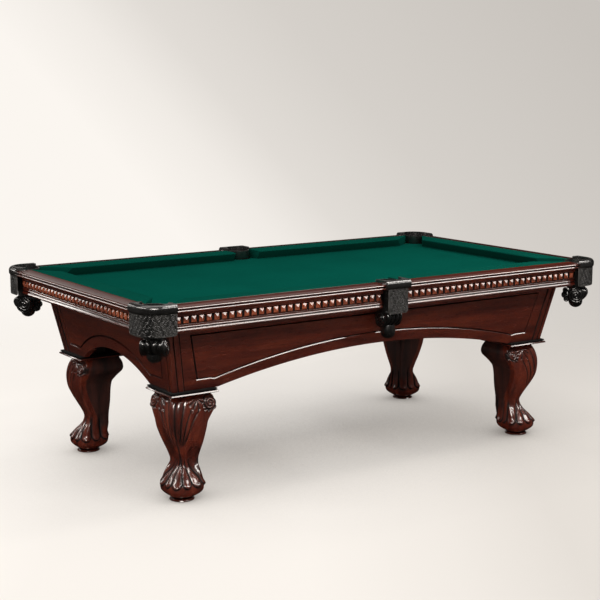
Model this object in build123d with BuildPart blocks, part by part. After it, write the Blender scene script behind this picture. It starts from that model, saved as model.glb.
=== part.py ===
"""Seven foot slate-bed pool table with carved cabriole legs and leather drop pockets.

The long side runs along X and the front is on -Y. Z is up and the feet stand on z = 0.
Pieces are named from the front: left is -X, right is +X, back is +Y.
"""
from build123d import *

import os
from math import radians, sqrt, tan

# ---- playing surface -------------------------------------------------------------------
play_length = 1981.2            # cushion nose to cushion nose
play_width = 990.6
rail_width = 165.0              # cushion nose to the outer edge of the rail
rail_top = 812.8                # top of the wooden rail above the floor
rail_above_bed = 40.0           # rail top above the cloth
ball_diameter = 57.15
nose_height = 0.635 * ball_diameter
cloth_thickness = 1.0
slate_thickness = 22.2
slate_overlap = 80.0            # slate past the cushion nose
slate_seam = 0.4

# ---- rails -----------------------------------------------------------------------------
rail_wood_width = 66.0          # bare wood seen from above
rail_core_width = 128.0         # wood under the cushion cloth
rail_foot_width = 84.0          # lower, hanging part of the rail
rail_depth = 106.8              # height of the rail's face
rail_rebate = 3.0               # depth the cushion cloth is let into the rail
nose_round = 3.0                # rounding of the cushion's nose
cushion_foot = 10.0             # cushion past the rail core at its foot
cushion_clear = 2.0             # cushion above the bed cloth
corner_rail_gap = 131.6         # outer corner to the end of a rail
side_rail_gap = 62.0            # centre of the side pocket to the end of a rail
channel_depth = 40.0            # how far in the back of the dentil channel is
channel_drop = 41.8             # rail top to the top of the channel
channel_height = 32.0
lower_bead_inset = 28.0         # how far in the fullest part of each bead is
lower_bead_height = 16.0
small_bead_inset = 31.0
small_bead_height = 12.0
small_bead_rise = 19.0
upper_bead_inset = 4.5
upper_bead_height = 10.0
upper_bead_drop = 21.0
bead_swell = 8.0
cove_drop = 23.0
cove_inset = 26.0
cove_hollow = 5.0
groove_inset = 14.0
groove_height = 2.0
edge_ease = 3.0
dentil_pitch = 33.0
dentil_width = 21.5
dentil_height = 25.0
dentil_proud = 12.0
dentil_backing = 6.0
dentil_bevel = 4.0

# ---- pockets ---------------------------------------------------------------------------
corner_inset = 74.0             # corner pocket centre in from both outer edges
side_inset = 70.0               # side pocket centre in from the outer edge
corner_round = 80.0             # outer corner of the leather
pocket_hole = 54.0              # radius of the opening in the leather rim
slate_hole = 60.0               # radius of the bite in the slate
corner_mouth = 124.0            # cushion point to cushion point
side_mouth = 137.0
corner_facing = 38.0            # degrees between cushion nose and facing
side_facing = 76.0
rim_proud = 6.0                 # leather above the rail top
rim_depth = 27.0                # rim below the rail top
rim_round = 9.0
shield_thickness = 5.0
corner_shield_low = 700.0
side_shield_low = 686.0
side_shield_half = 55.0
bag_wall = 4.0
bag_throat = 38.0               # inner radius of the bag
drum_radius = 36.0              # rolled leather drum at the foot of the bag
corner_drum_half = 46.0
side_drum_half = 41.0
strap_radius = 20.0             # roll of the straps, outwards of the drum
strap_forward = 34.0
strap_rise = 11.0
strap_short = 4.0               # straps end this far inside the drum's ends
curl_radius = 14.0              # curled leather ends behind a corner drum
curl_half = 11.0
curl_sink = 3.0                 # how far the curls are let into the drum
drum_drop = 161.8               # drum centre below the rail top
cup_radius = 31.0
corner_cup_drop = 215.0         # foot of the cup below the rail top
side_cup_drop = 240.0

# ---- cabinet ---------------------------------------------------------------------------
cabinet_base = 449.0            # underside of the aprons
cabinet_end_inset = 201.2       # outer faces at the underside, in from the rails' outer edges
cabinet_side_inset = 167.9
cabinet_lean = 58.2             # how much further out the faces are at the top
apron_thickness = 25.0
long_arch_half = 757.0
long_arch_rise = 92.0
short_arch_half = 300.0
short_arch_rise = 90.0
beam_width = 90.0
beam_height = 80.0
block_size = 108.0
block_height = 110.0

# ---- legs ------------------------------------------------------------------------------
plate_side = 212.0
plate_thickness = 16.0
plate_overhang = 20.6           # plate past the cabinet
plate_round = 5.0
knee_reach = 89.0               # knee outwards of the plate centre
corner_trim = 22.0              # taken off the carved outer corner, along the diagonal
foot_radius = 50.0
foot_height = 12.0
foot_shift = 17.0               # foot centre outwards of the plate centre
foot_gap = 0.4
stem_radius = 8.0
stem_reach = 70.0
thread_clearance = 0.3

# ---- fasteners -------------------------------------------------------------------------
leg_bolt_radius = 6.0
leg_bolt_in_leg = 60.0
leg_bolt_above = 85.0
rail_bolt_radius = 5.0
rail_bolt_inset = 98.0          # in from the outer edge of the rail
rail_bolt_grip = 26.0            # thread taken up by the rail
bolt_head_radius = 9.0
bolt_head_height = 6.0
slate_screw_radius = 3.0
slate_screw_head = 6.0
slate_screw_length = 60.0
hole_clearance = 0.3

# ---- worked out ------------------------------------------------------------------------
half_length = play_length / 2 + rail_width
half_width = play_width / 2 + rail_width
bed_top = rail_top - rail_above_bed
slate_top = bed_top - cloth_thickness
slate_bottom = slate_top - slate_thickness
nose_z = bed_top + nose_height
rim_top = rail_top + rim_proud
rim_bottom = rail_top - rim_depth
rail_bottom = rail_top - rail_depth
channel_high = rail_top - channel_drop
channel_low = channel_high - channel_height
cabinet_half_length = half_length - cabinet_end_inset
cabinet_half_width = half_width - cabinet_side_inset
slate_half_length = play_length / 2 + slate_overlap
slate_half_width = play_width / 2 + slate_overlap
slate_third = slate_half_length / 3
plate_top = cabinet_base
plate_bottom = plate_top - plate_thickness
leg_bottom = foot_height + foot_gap
plate_x = cabinet_half_length + plate_overhang - plate_side / 2
plate_y = cabinet_half_width + plate_overhang - plate_side / 2
corner_x = half_length - corner_inset
corner_y = half_width - corner_inset
side_y = half_width - side_inset
long_rail_end = half_length - corner_rail_gap
short_rail_end = half_width - corner_rail_gap
mitre = cabinet_half_length - cabinet_half_width

corners = {"front_left": (-1, -1), "front_right": (1, -1), "back_left": (-1, 1), "back_right": (1, 1)}
sides = {"front": -1, "back": 1}
ends = {"left": -1, "right": 1}


def flare(z):
    """How far out the cabinet's faces have leaned at height z."""
    return cabinet_lean * (z - cabinet_base) / (slate_bottom - cabinet_base)


def arc_radius(half_chord, rise):
    return (half_chord**2 + rise**2) / (2 * rise)


def save(builder, name):
    builder.part.label = name
    export_step(builder.part, f"parts/{name}.step")


os.makedirs("parts", exist_ok=True)


# ---- plan shapes of the pockets, used by every piece that makes room for them ------------
def corner_opening(sx, sy, z, hole):
    """Mouth between the cushion points, narrowing into the round hole of a corner pocket."""
    back = corner_mouth / sqrt(2)
    nose_x, nose_y = play_length / 2, play_width / 2
    deep = rail_width - corner_inset
    run = deep / tan(radians(corner_facing))
    outline = [
        (nose_x - back, nose_y),
        (nose_x - back + run, nose_y + deep),
        (nose_x + deep, nose_y + deep),
        (nose_x + deep, nose_y - back + run),
        (nose_x, nose_y - back),
        (nose_x - back, nose_y - back),
    ]
    with BuildSketch(Plane.XY.offset(z)) as plan:
        with BuildLine():
            Polyline([(sx * x, sy * y) for x, y in outline], close=True)
        make_face()
        with Locations((sx * corner_x, sy * corner_y)):
            Circle(hole)
    return plan.sketch


def side_opening(sy, z, hole):
    """Mouth of a side pocket, from the cushion points back to the round hole."""
    nose_y = play_width / 2
    deep = rail_width - side_inset
    throat = side_mouth / 2 - deep / tan(radians(side_facing))
    outline = [
        (-side_mouth / 2, nose_y),
        (-throat, nose_y + deep),
        (throat, nose_y + deep),
        (side_mouth / 2, nose_y),
        (side_mouth / 2, nose_y - rail_width),
        (-side_mouth / 2, nose_y - rail_width),
    ]
    with BuildSketch(Plane.XY.offset(z)) as plan:
        with BuildLine():
            Polyline([(x, sy * y) for x, y in outline], close=True)
        make_face()
        with Locations((0, sy * side_y)):
            Circle(hole)
    return plan.sketch


# ---- legs: bandsawn cabriole blocks, cut to one outline from both sides --------------------
leg_height = plate_bottom - leg_bottom
# (share of the leg's height, share of the knee's reach), outwards and inwards of the plate centre
knee_curve = [
    (1.00, 0.79), (0.93, 0.95), (0.82, 1.02), (0.69, 0.99), (0.60, 0.88), (0.50, 0.70), (0.42, 0.52),
    (0.35, 0.40), (0.30, 0.42), (0.25, 0.56), (0.19, 0.80), (0.13, 0.96), (0.07, 0.98), (0.03, 0.84),
    (0.00, 0.62),
]
inner_curve = [
    (1.00, 1.01), (0.93, 1.15), (0.86, 1.15), (0.79, 0.92), (0.72, 0.74), (0.50, 0.66), (0.37, 0.60),
    (0.30, 0.58), (0.19, 0.62), (0.10, 0.66), (0.05, 0.58), (0.00, 0.28),
]


def leg_profile(s, plane):
    """Side outline of a leg on an upright plane; s says which way is outwards."""
    outer = [(s * d * knee_reach, leg_bottom + h * leg_height) for h, d in knee_curve]
    inner = [(-s * d * knee_reach, leg_bottom + h * leg_height) for h, d in inner_curve]
    with BuildSketch(plane) as side:
        with BuildLine():
            Spline(outer)
            Line(outer[-1], inner[-1])
            Spline(inner)
            Line(inner[0], outer[0])
        make_face()
    return side.sketch


def diagonal_profile(plane):
    """Outline on the diagonal that trims the outer corner edge of the leg."""
    outer = [(sqrt(2) * d * knee_reach - corner_trim, leg_bottom + h * leg_height) for h, d in knee_curve]
    with BuildSketch(plane) as side:
        with BuildLine():
            Spline(outer)
            Polyline(outer[-1], (-plate_side, leg_bottom), (-plate_side, plate_bottom), outer[0])
        make_face()
    return side.sketch


for corner, (sx, sy) in corners.items():
    px, py = sx * plate_x, sy * plate_y
    fx, fy = px + sx * foot_shift, py + sy * foot_shift
    upright_x = Plane(origin=(px, py, 0), x_dir=(1, 0, 0), z_dir=(0, -1, 0))
    upright_y = Plane(origin=(px, py, 0), x_dir=(0, 1, 0), z_dir=(1, 0, 0))
    upright_diagonal = Plane(origin=(px, py, 0), x_dir=(sx, sy, 0), z_dir=(sy, -sx, 0))
    with BuildPart() as leg:
        extrude(leg_profile(sx, upright_x), amount=plate_side, both=True)
        extrude(leg_profile(sy, upright_y), amount=plate_side, both=True, mode=Mode.INTERSECT)
        extrude(diagonal_profile(upright_diagonal), amount=plate_side, both=True, mode=Mode.INTERSECT)
        with BuildSketch(Plane.XY.offset(plate_bottom - leg_bolt_in_leg)):
            with Locations((px, py)):
                Circle(leg_bolt_radius + hole_clearance)
        extrude(amount=leg_bolt_in_leg, mode=Mode.SUBTRACT)
        with BuildSketch(Plane.XY.offset(leg_bottom)):
            with Locations((fx, fy)):
                Circle(stem_radius + thread_clearance)
        extrude(amount=stem_reach, mode=Mode.SUBTRACT)
    save(leg, f"leg_{corner}")

    with BuildPart() as plate:
        with BuildSketch(Plane.XY.offset(plate_bottom)):
            with Locations((px, py)):
                RectangleRounded(plate_side, plate_side, plate_round)
                Circle(leg_bolt_radius + hole_clearance, mode=Mode.SUBTRACT)
        extrude(amount=plate_thickness)
        low_edges = plate.faces().sort_by(Axis.Z)[0].outer_wire().edges()
        fillet(low_edges, plate_round)
        high_edges = plate.faces().sort_by(Axis.Z)[-1].outer_wire().edges()
        chamfer(high_edges, plate_round / 2)
    save(plate, f"leg_plate_{corner}")

    with BuildPart() as foot:
        with BuildSketch():
            with Locations((fx, fy)):
                Circle(foot_radius)
        extrude(amount=foot_height)
        fillet(foot.edges(), foot_height / 3)
        with BuildSketch(Plane.XY.offset(foot_height / 3)):
            with Locations((fx, fy)):
                Circle(stem_radius + thread_clearance)
        extrude(amount=foot_height, mode=Mode.SUBTRACT)
    save(foot, f"foot_{corner}")

    with BuildPart() as stem:
        with BuildSketch(Plane.XY.offset(foot_height / 3 + thread_clearance)):
            with Locations((fx, fy)):
                Circle(stem_radius)
        extrude(amount=stem_reach - foot_height)
        chamfer(stem.edges().group_by(Axis.Z)[-1], stem_radius / 4)
    save(stem, f"foot_stem_{corner}")

with BuildPart() as leg_bolts:
    with BuildSketch(Plane.XY.offset(plate_bottom - leg_bolt_in_leg)):
        with Locations([(sx * plate_x, sy * plate_y) for sx, sy in corners.values()]):
            Circle(leg_bolt_radius)
    extrude(amount=leg_bolt_in_leg + plate_thickness + leg_bolt_above)
save(leg_bolts, "leg_bolts")


# ---- cabinet: four leaning aprons mitred at the corners, with arched lower edges ------------
def apron_section(plane, s, base):
    """Leaning board seen from its end; s says which way is outwards."""
    low, high = cabinet_base, slate_bottom
    with BuildSketch(plane) as section:
        with BuildLine():
            Polyline(
                (s * base, low),
                (s * (base + flare(high)), high),
                (s * (base + flare(high) - apron_thickness), high),
                (s * (base - apron_thickness), low),
                close=True,
            )
        make_face()
    return section.sketch


def arch(plane, half_chord, rise):
    """The space under an arched lower edge."""
    radius = arc_radius(half_chord, rise)
    with BuildSketch(plane) as gap:
        with Locations((0, cabinet_base + rise - radius)):
            Circle(radius)
        with Locations((0, cabinet_base)):
            Rectangle(2 * half_chord, 2 * rise, mode=Mode.INTERSECT)
    return gap.sketch


for side, sy in sides.items():
    with BuildPart() as apron:
        reach = cabinet_half_width + flare(slate_bottom)
        extrude(apron_section(Plane.YZ, sy, cabinet_half_width), amount=half_length, both=True)
        with BuildSketch(Plane.XY.offset(cabinet_base)):
            with BuildLine():
                near, far = cabinet_half_width - apron_thickness, reach
                Polyline((-mitre - far, sy * far), (mitre + far, sy * far),
                         (mitre + near, sy * near), (-mitre - near, sy * near), close=True)
            make_face()
        extrude(amount=slate_bottom - cabinet_base, mode=Mode.INTERSECT)
        extrude(arch(Plane.XZ, long_arch_half, long_arch_rise), amount=half_width, both=True,
                mode=Mode.SUBTRACT)
        with BuildSketch(Plane.XY.offset(cabinet_base)):
            with Locations((0, sy * side_y)):
                Circle(bag_throat + 2 * bag_wall + hole_clearance)
        extrude(amount=slate_bottom, mode=Mode.SUBTRACT)
    save(apron, f"apron_{side}")

for end, sx in ends.items():
    with BuildPart() as apron:
        reach = cabinet_half_length + flare(slate_bottom)
        extrude(apron_section(Plane.XZ, sx, cabinet_half_length), amount=half_width, both=True)
        with BuildSketch(Plane.XY.offset(cabinet_base)):
            with BuildLine():
                near, far = cabinet_half_length - apron_thickness, reach
                Polyline((sx * far, mitre - far), (sx * far, far - mitre),
                         (sx * near, near - mitre), (sx * near, mitre - near), close=True)
            make_face()
        extrude(amount=slate_bottom - cabinet_base, mode=Mode.INTERSECT)
        extrude(arch(Plane.YZ, short_arch_half, short_arch_rise), amount=half_length, both=True,
                mode=Mode.SUBTRACT)
    save(apron, f"apron_{end}")

with BuildPart() as corner_blocks:
    for sx, sy in corners.values():
        inner_x = cabinet_half_length - apron_thickness - block_size / 2
        inner_y = cabinet_half_width - apron_thickness - block_size / 2
        lean = flare(cabinet_base + block_height)
        with BuildSketch(Plane.XY.offset(cabinet_base)):
            with Locations((sx * inner_x, sy * inner_y)):
                Rectangle(block_size, block_size)
        with BuildSketch(Plane.XY.offset(cabinet_base + block_height)):
            with Locations((sx * (inner_x + lean), sy * (inner_y + lean))):
                Rectangle(block_size, block_size)
        loft()
    with BuildSketch(Plane.XY.offset(cabinet_base)):
        with Locations([(sx * plate_x, sy * plate_y) for sx, sy in corners.values()]):
            Circle(leg_bolt_radius + hole_clearance)
    extrude(amount=block_height, mode=Mode.SUBTRACT)
save(corner_blocks, "corner_blocks")

screw_spots = [(slate_third + dx, y) for dx in (-beam_width / 4, beam_width / 4)
               for y in (-play_width / 3, 0, play_width / 3)]

for end, sx in ends.items():
    with BuildPart() as beam:
        low, high = slate_bottom - beam_height, slate_bottom
        inner = cabinet_half_width - apron_thickness
        with BuildSketch(Plane.YZ.offset(sx * slate_third)):
            with BuildLine():
                Polyline((-inner - flare(low), low), (inner + flare(low), low),
                         (inner + flare(high), high), (-inner - flare(high), high), close=True)
            make_face()
        extrude(amount=beam_width / 2, both=True)
        with BuildSketch(Plane.XY.offset(high - slate_screw_length)):
            with Locations([(sx * x, y) for x, y in screw_spots]):
                Circle(slate_screw_radius + hole_clearance)
        extrude(amount=slate_screw_length, mode=Mode.SUBTRACT)
    save(beam, f"cross_beam_{end}")

# ---- slate bed in three pieces, with its screws and cloth -----------------------------------
rail_bolt_spots = []
for sx, sy in corners.values():
    span = long_rail_end - side_rail_gap
    rail_bolt_spots += [(sx * (side_rail_gap + span * share), sy * (half_width - rail_bolt_inset))
                        for share in (0.18, 0.5, 0.8)]
for sx in ends.values():
    rail_bolt_spots += [(sx * (half_length - rail_bolt_inset), y)
                        for y in (-short_rail_end * 0.6, 0, short_rail_end * 0.6)]


def bed_outline(z, low_x, high_x):
    """Plan of the slates, bitten by the six pockets and drilled for the rail bolts."""
    with BuildSketch(Plane.XY.offset(z)) as plan:
        with Locations(((low_x + high_x) / 2, 0)):
            Rectangle(high_x - low_x, 2 * slate_half_width)
        with Locations([(sx * corner_x, sy * corner_y) for sx, sy in corners.values()]):
            Circle(slate_hole, mode=Mode.SUBTRACT)
        with Locations([(0, sy * side_y) for sy in sides.values()]):
            Circle(slate_hole, mode=Mode.SUBTRACT)
        with Locations(rail_bolt_spots):
            Circle(rail_bolt_radius + hole_clearance, mode=Mode.SUBTRACT)
    return plan.sketch


slate_spans = {
    "left": (-slate_half_length, -slate_third - slate_seam / 2),
    "middle": (-slate_third + slate_seam / 2, slate_third - slate_seam / 2),
    "right": (slate_third + slate_seam / 2, slate_half_length),
}
for name, (low_x, high_x) in slate_spans.items():
    with BuildPart() as slate:
        extrude(bed_outline(slate_bottom, low_x, high_x), amount=slate_thickness)
        with BuildSketch(Plane.XY.offset(slate_bottom)):
            with Locations([(sx * x, y) for sx in ends.values() for x, y in screw_spots]):
                Circle(slate_screw_radius + hole_clearance)
        extrude(amount=slate_thickness, mode=Mode.SUBTRACT)
        with BuildSketch(Plane.XY.offset(slate_top - slate_screw_head)):
            with Locations([(sx * x, y) for sx in ends.values() for x, y in screw_spots]):
                Circle(slate_screw_head + hole_clearance)
        extrude(amount=slate_screw_head, mode=Mode.SUBTRACT)
    save(slate, f"slate_{name}")

with BuildPart() as slate_screws:
    for sx in ends.values():
        with BuildSketch(Plane.XY.offset(slate_bottom - slate_screw_length + hole_clearance)):
            with Locations([(sx * x, y) for x, y in screw_spots]):
                Circle(slate_screw_radius)
        extrude(amount=slate_screw_length + slate_thickness - slate_screw_head)
        with BuildSketch(Plane.XY.offset(slate_top - slate_screw_head + hole_clearance)):
            with Locations([(sx * x, y) for x, y in screw_spots]):
                Circle(slate_screw_head)
        extrude(amount=slate_screw_head - 2 * hole_clearance)
save(slate_screws, "slate_screws")

with BuildPart() as bed_cloth:
    extrude(bed_outline(slate_top, -slate_half_length, slate_half_length), amount=cloth_thickness)
save(bed_cloth, "bed_cloth")


# ---- rails, cushions and dentil strips -------------------------------------------------------
def rail_section(plane, s, reach):
    """Moulded section of a wooden rail; reach is the distance of its outer edge from the middle."""
    def at(inwards, z):
        return (s * (reach - inwards), z)

    top = rail_top
    lower_in = lower_bead_inset + bead_swell
    small_in = small_bead_inset + bead_swell / 2
    small_low = rail_bottom + small_bead_rise
    upper_in = upper_bead_inset + bead_swell * 0.7
    upper_low = top - upper_bead_drop
    upper_high = upper_low + upper_bead_height
    cove_low = top - cove_drop
    with BuildSketch(plane) as section:
        with BuildLine():
            Polyline(at(edge_ease, top), at(rail_wood_width, top),
                     at(rail_wood_width, top - rail_rebate), at(rail_core_width, top - rail_rebate),
                     at(rail_core_width, bed_top), at(rail_foot_width, bed_top),
                     at(rail_foot_width, rail_bottom), at(lower_in, rail_bottom))
            ThreePointArc(at(lower_in, rail_bottom),
                          at(lower_bead_inset, rail_bottom + lower_bead_height / 2),
                          at(lower_in, rail_bottom + lower_bead_height))
            Line(at(lower_in, rail_bottom + lower_bead_height), at(small_in, small_low))
            ThreePointArc(at(small_in, small_low),
                          at(small_bead_inset, small_low + small_bead_height / 2),
                          at(small_in, small_low + small_bead_height))
            Polyline(at(small_in, small_low + small_bead_height), at(small_in, channel_low),
                     at(channel_depth, channel_low), at(channel_depth, channel_high),
                     at(cove_inset, channel_high))
            ThreePointArc(at(cove_inset, channel_high),
                          at((cove_inset + upper_in) / 2 + cove_hollow, (channel_high + cove_low) / 2 + cove_hollow),
                          at(upper_in, cove_low))
            Line(at(upper_in, cove_low), at(upper_in, upper_low))
            ThreePointArc(at(upper_in, upper_low),
                          at(upper_bead_inset, upper_low + upper_bead_height / 2),
                          at(upper_in, upper_high))
            Polyline(at(upper_in, upper_high), at(groove_inset, upper_high + groove_height / 2),
                     at(groove_inset, upper_high + groove_height * 1.5),
                     at(edge_ease, upper_high + groove_height * 1.5),
                     at(0, upper_high + groove_height * 2.5), at(0, top - edge_ease), at(edge_ease, top))
        make_face()
    return section.sketch


def cushion_section(plane, s, reach):
    """Rubber cushion with its cloth, from the rebate in the rail to the nose."""
    def at(inwards, z):
        return (s * (reach - inwards), z)

    with BuildSketch(plane) as section:
        with BuildLine():
            Polyline(at(rail_wood_width, rail_top), at(rail_core_width, rail_top),
                     at(rail_width - nose_round, nose_z + nose_round))
            ThreePointArc(at(rail_width - nose_round, nose_z + nose_round), at(rail_width, nose_z),
                          at(rail_width - nose_round, nose_z - nose_round))
            Polyline(at(rail_width - nose_round, nose_z - nose_round),
                     at(rail_core_width + cushion_foot, bed_top + cushion_clear),
                     at(rail_core_width, bed_top + cushion_clear), at(rail_core_width, rail_top - rail_rebate),
                     at(rail_wood_width, rail_top - rail_rebate), at(rail_wood_width, rail_top))
        make_face()
    return section.sketch


def dentil_strip(length):
    """Backing board with carved blocks, lying along X with its face towards -Y."""
    count = int(length // dentil_pitch)
    with BuildPart() as strip:
        with BuildSketch(Plane.XZ):
            Rectangle(length, channel_high - channel_low)
        extrude(amount=dentil_backing)
        with BuildSketch(Plane.XZ.offset(dentil_backing)):
            with GridLocations(dentil_pitch, 0, count, 1):
                Rectangle(dentil_width, dentil_height)
        extrude(amount=dentil_proud)
        front = strip.faces().sort_by(Axis.Y)[0].center().Y
        face_edges = strip.edges().filter_by(lambda edge: abs(edge.center().Y - front) < 0.01)
        chamfer(face_edges, dentil_bevel)
    return strip.part


channel_mid = (channel_low + channel_high) / 2
half_rail_length = long_rail_end - side_rail_gap
long_strip = dentil_strip(half_rail_length - 2 * hole_clearance)
short_strip = dentil_strip(2 * short_rail_end - 2 * hole_clearance)
cut_low = rail_bottom - 1
cut_deep = rim_top - cut_low

for corner, (sx, sy) in corners.items():
    start = Plane.YZ.offset(side_rail_gap if sx > 0 else -long_rail_end)
    with BuildPart() as rail:
        extrude(rail_section(start, sy, half_width), amount=half_rail_length)
        extrude(corner_opening(sx, sy, bed_top, pocket_hole), amount=cut_deep, mode=Mode.SUBTRACT)
        extrude(side_opening(sy, bed_top, pocket_hole), amount=cut_deep, mode=Mode.SUBTRACT)
        with BuildSketch(Plane.XY.offset(bed_top)):
            with Locations([spot for spot in rail_bolt_spots if abs(spot[0]) < long_rail_end]):
                Circle(rail_bolt_radius + hole_clearance)
        extrude(amount=rail_bolt_grip + hole_clearance, mode=Mode.SUBTRACT)
    save(rail, f"rail_{corner}")

    with BuildPart() as cushion:
        extrude(cushion_section(start, sy, half_width), amount=half_rail_length)
        extrude(corner_opening(sx, sy, bed_top, pocket_hole), amount=cut_deep, mode=Mode.SUBTRACT)
        extrude(side_opening(sy, bed_top, pocket_hole), amount=cut_deep, mode=Mode.SUBTRACT)
    save(cushion, f"cushion_{corner}")

    with BuildPart() as dentils:
        middle = Location((sx * (side_rail_gap + long_rail_end) / 2,
                           sy * (half_width - channel_depth), channel_mid))
        turned = Rotation(0, 0, 0) if sy < 0 else Rotation(0, 0, 180)
        add(middle * turned * long_strip)
    save(dentils, f"dentils_{corner}")

for end, sx in ends.items():
    with BuildPart() as rail:
        extrude(rail_section(Plane.XZ, sx, half_length), amount=short_rail_end, both=True)
        for sy in sides.values():
            extrude(corner_opening(sx, sy, bed_top, pocket_hole), amount=cut_deep, mode=Mode.SUBTRACT)
        with BuildSketch(Plane.XY.offset(bed_top)):
            with Locations([spot for spot in rail_bolt_spots if abs(spot[0]) > long_rail_end]):
                Circle(rail_bolt_radius + hole_clearance)
        extrude(amount=rail_bolt_grip + hole_clearance, mode=Mode.SUBTRACT)
    save(rail, f"rail_{end}")

    with BuildPart() as cushion:
        extrude(cushion_section(Plane.XZ, sx, half_length), amount=short_rail_end, both=True)
        for sy in sides.values():
            extrude(corner_opening(sx, sy, bed_top, pocket_hole), amount=cut_deep, mode=Mode.SUBTRACT)
    save(cushion, f"cushion_{end}")

    with BuildPart() as dentils:
        middle = Location((sx * (half_length - channel_depth), 0, channel_mid))
        add(middle * Rotation(0, 0, 90 * sx) * short_strip)
    save(dentils, f"dentils_{end}")

with BuildPart() as rail_bolts:
    head_low = slate_bottom - bolt_head_height
    with BuildSketch(Plane.XY.offset(head_low)):
        with Locations(rail_bolt_spots):
            RegularPolygon(bolt_head_radius, 6)
    extrude(amount=bolt_head_height)
    with BuildSketch(Plane.XY.offset(head_low)):
        with Locations(rail_bolt_spots):
            Circle(rail_bolt_radius)
    extrude(amount=bed_top + rail_bolt_grip - head_low)
save(rail_bolts, "rail_bolts")


# ---- pockets: leather-covered irons with their shields, and the drop bags ---------------------
def corner_rim_plan(sx, sy, z, thickness=None):
    """Rounded corner of the leather; with a thickness it is only the outer band."""
    gap = corner_rail_gap
    with BuildSketch(Plane.XY.offset(z)) as plan:
        with BuildLine():
            Line((half_length - gap, half_width), (half_length - corner_round, half_width))
            RadiusArc((half_length - corner_round, half_width),
                      (half_length, half_width - corner_round), corner_round)
            Line((half_length, half_width - corner_round), (half_length, half_width - gap))
            if thickness:
                inner = corner_round - thickness
                Line((half_length, half_width - gap), (half_length - thickness, half_width - gap))
                Line((half_length - thickness, half_width - gap),
                     (half_length - thickness, half_width - corner_round))
                RadiusArc((half_length - thickness, half_width - corner_round),
                          (half_length - corner_round, half_width - thickness), -inner)
                Line((half_length - corner_round, half_width - thickness),
                     (half_length - gap, half_width - thickness))
                Line((half_length - gap, half_width - thickness), (half_length - gap, half_width))
            else:
                Polyline((half_length, half_width - gap), (half_length - gap, half_width - gap),
                         (half_length - gap, half_width))
        make_face()
        if sx < 0:
            mirror(about=Plane.YZ, mode=Mode.REPLACE)
        if sy < 0:
            mirror(about=Plane.XZ, mode=Mode.REPLACE)
    return plan.sketch


mouth_line = 20.0               # the iron's arms stop this far inside the pocket centre
for corner, (sx, sy) in corners.items():
    outwards = (sx / sqrt(2), sy / sqrt(2), 0)
    with BuildPart() as shield:
        extrude(corner_rim_plan(sx, sy, rim_bottom), amount=rim_top - rim_bottom)
        with BuildSketch(Plane.XY.offset(rim_bottom)):
            with Locations((sx * corner_x, sy * corner_y)):
                Circle(pocket_hole)
        extrude(amount=rim_top - rim_bottom, mode=Mode.SUBTRACT)
        with BuildSketch(Plane(origin=(sx * corner_x, sy * corner_y, rim_bottom),
                               x_dir=outwards, z_dir=(0, 0, 1))):
            with Locations((-mouth_line - corner_rail_gap, 0)):
                Rectangle(2 * corner_rail_gap, 4 * corner_rail_gap)
        extrude(amount=rim_top - rim_bottom, mode=Mode.SUBTRACT)
        outer_top = shield.edges().group_by(Axis.Z)[-1].filter_by(
            lambda edge: edge.center().X * sx > half_length - corner_round * 0.35
            or edge.center().Y * sy > half_width - corner_round * 0.35)
        fillet(outer_top, rim_round)
        extrude(corner_rim_plan(sx, sy, corner_shield_low, shield_thickness),
                amount=rim_bottom - corner_shield_low)
    save(shield, f"pocket_shield_{corner}")

for side, sy in sides.items():
    edge_y = half_width
    with BuildPart() as shield:
        with BuildSketch(Plane.XY.offset(rim_bottom)):
            with Locations((0, sy * (edge_y - side_inset / 2 - mouth_line / 4))):
                Rectangle(2 * side_rail_gap - 2 * hole_clearance, side_inset + mouth_line / 2)
            with Locations((0, sy * side_y)):
                Circle(pocket_hole, mode=Mode.SUBTRACT)
        extrude(amount=rim_top - rim_bottom)
        outer_top = shield.edges().group_by(Axis.Z)[-1].filter_by(
            lambda edge: edge.center().Y * sy > edge_y - 1)
        fillet(outer_top, rim_round)
        with BuildSketch(Plane.XY.offset(side_shield_low)):
            with Locations((0, sy * (edge_y - shield_thickness / 2))):
                Rectangle(2 * side_shield_half, shield_thickness)
        extrude(amount=rim_bottom - side_shield_low)
    save(shield, f"pocket_shield_{side}")


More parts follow.
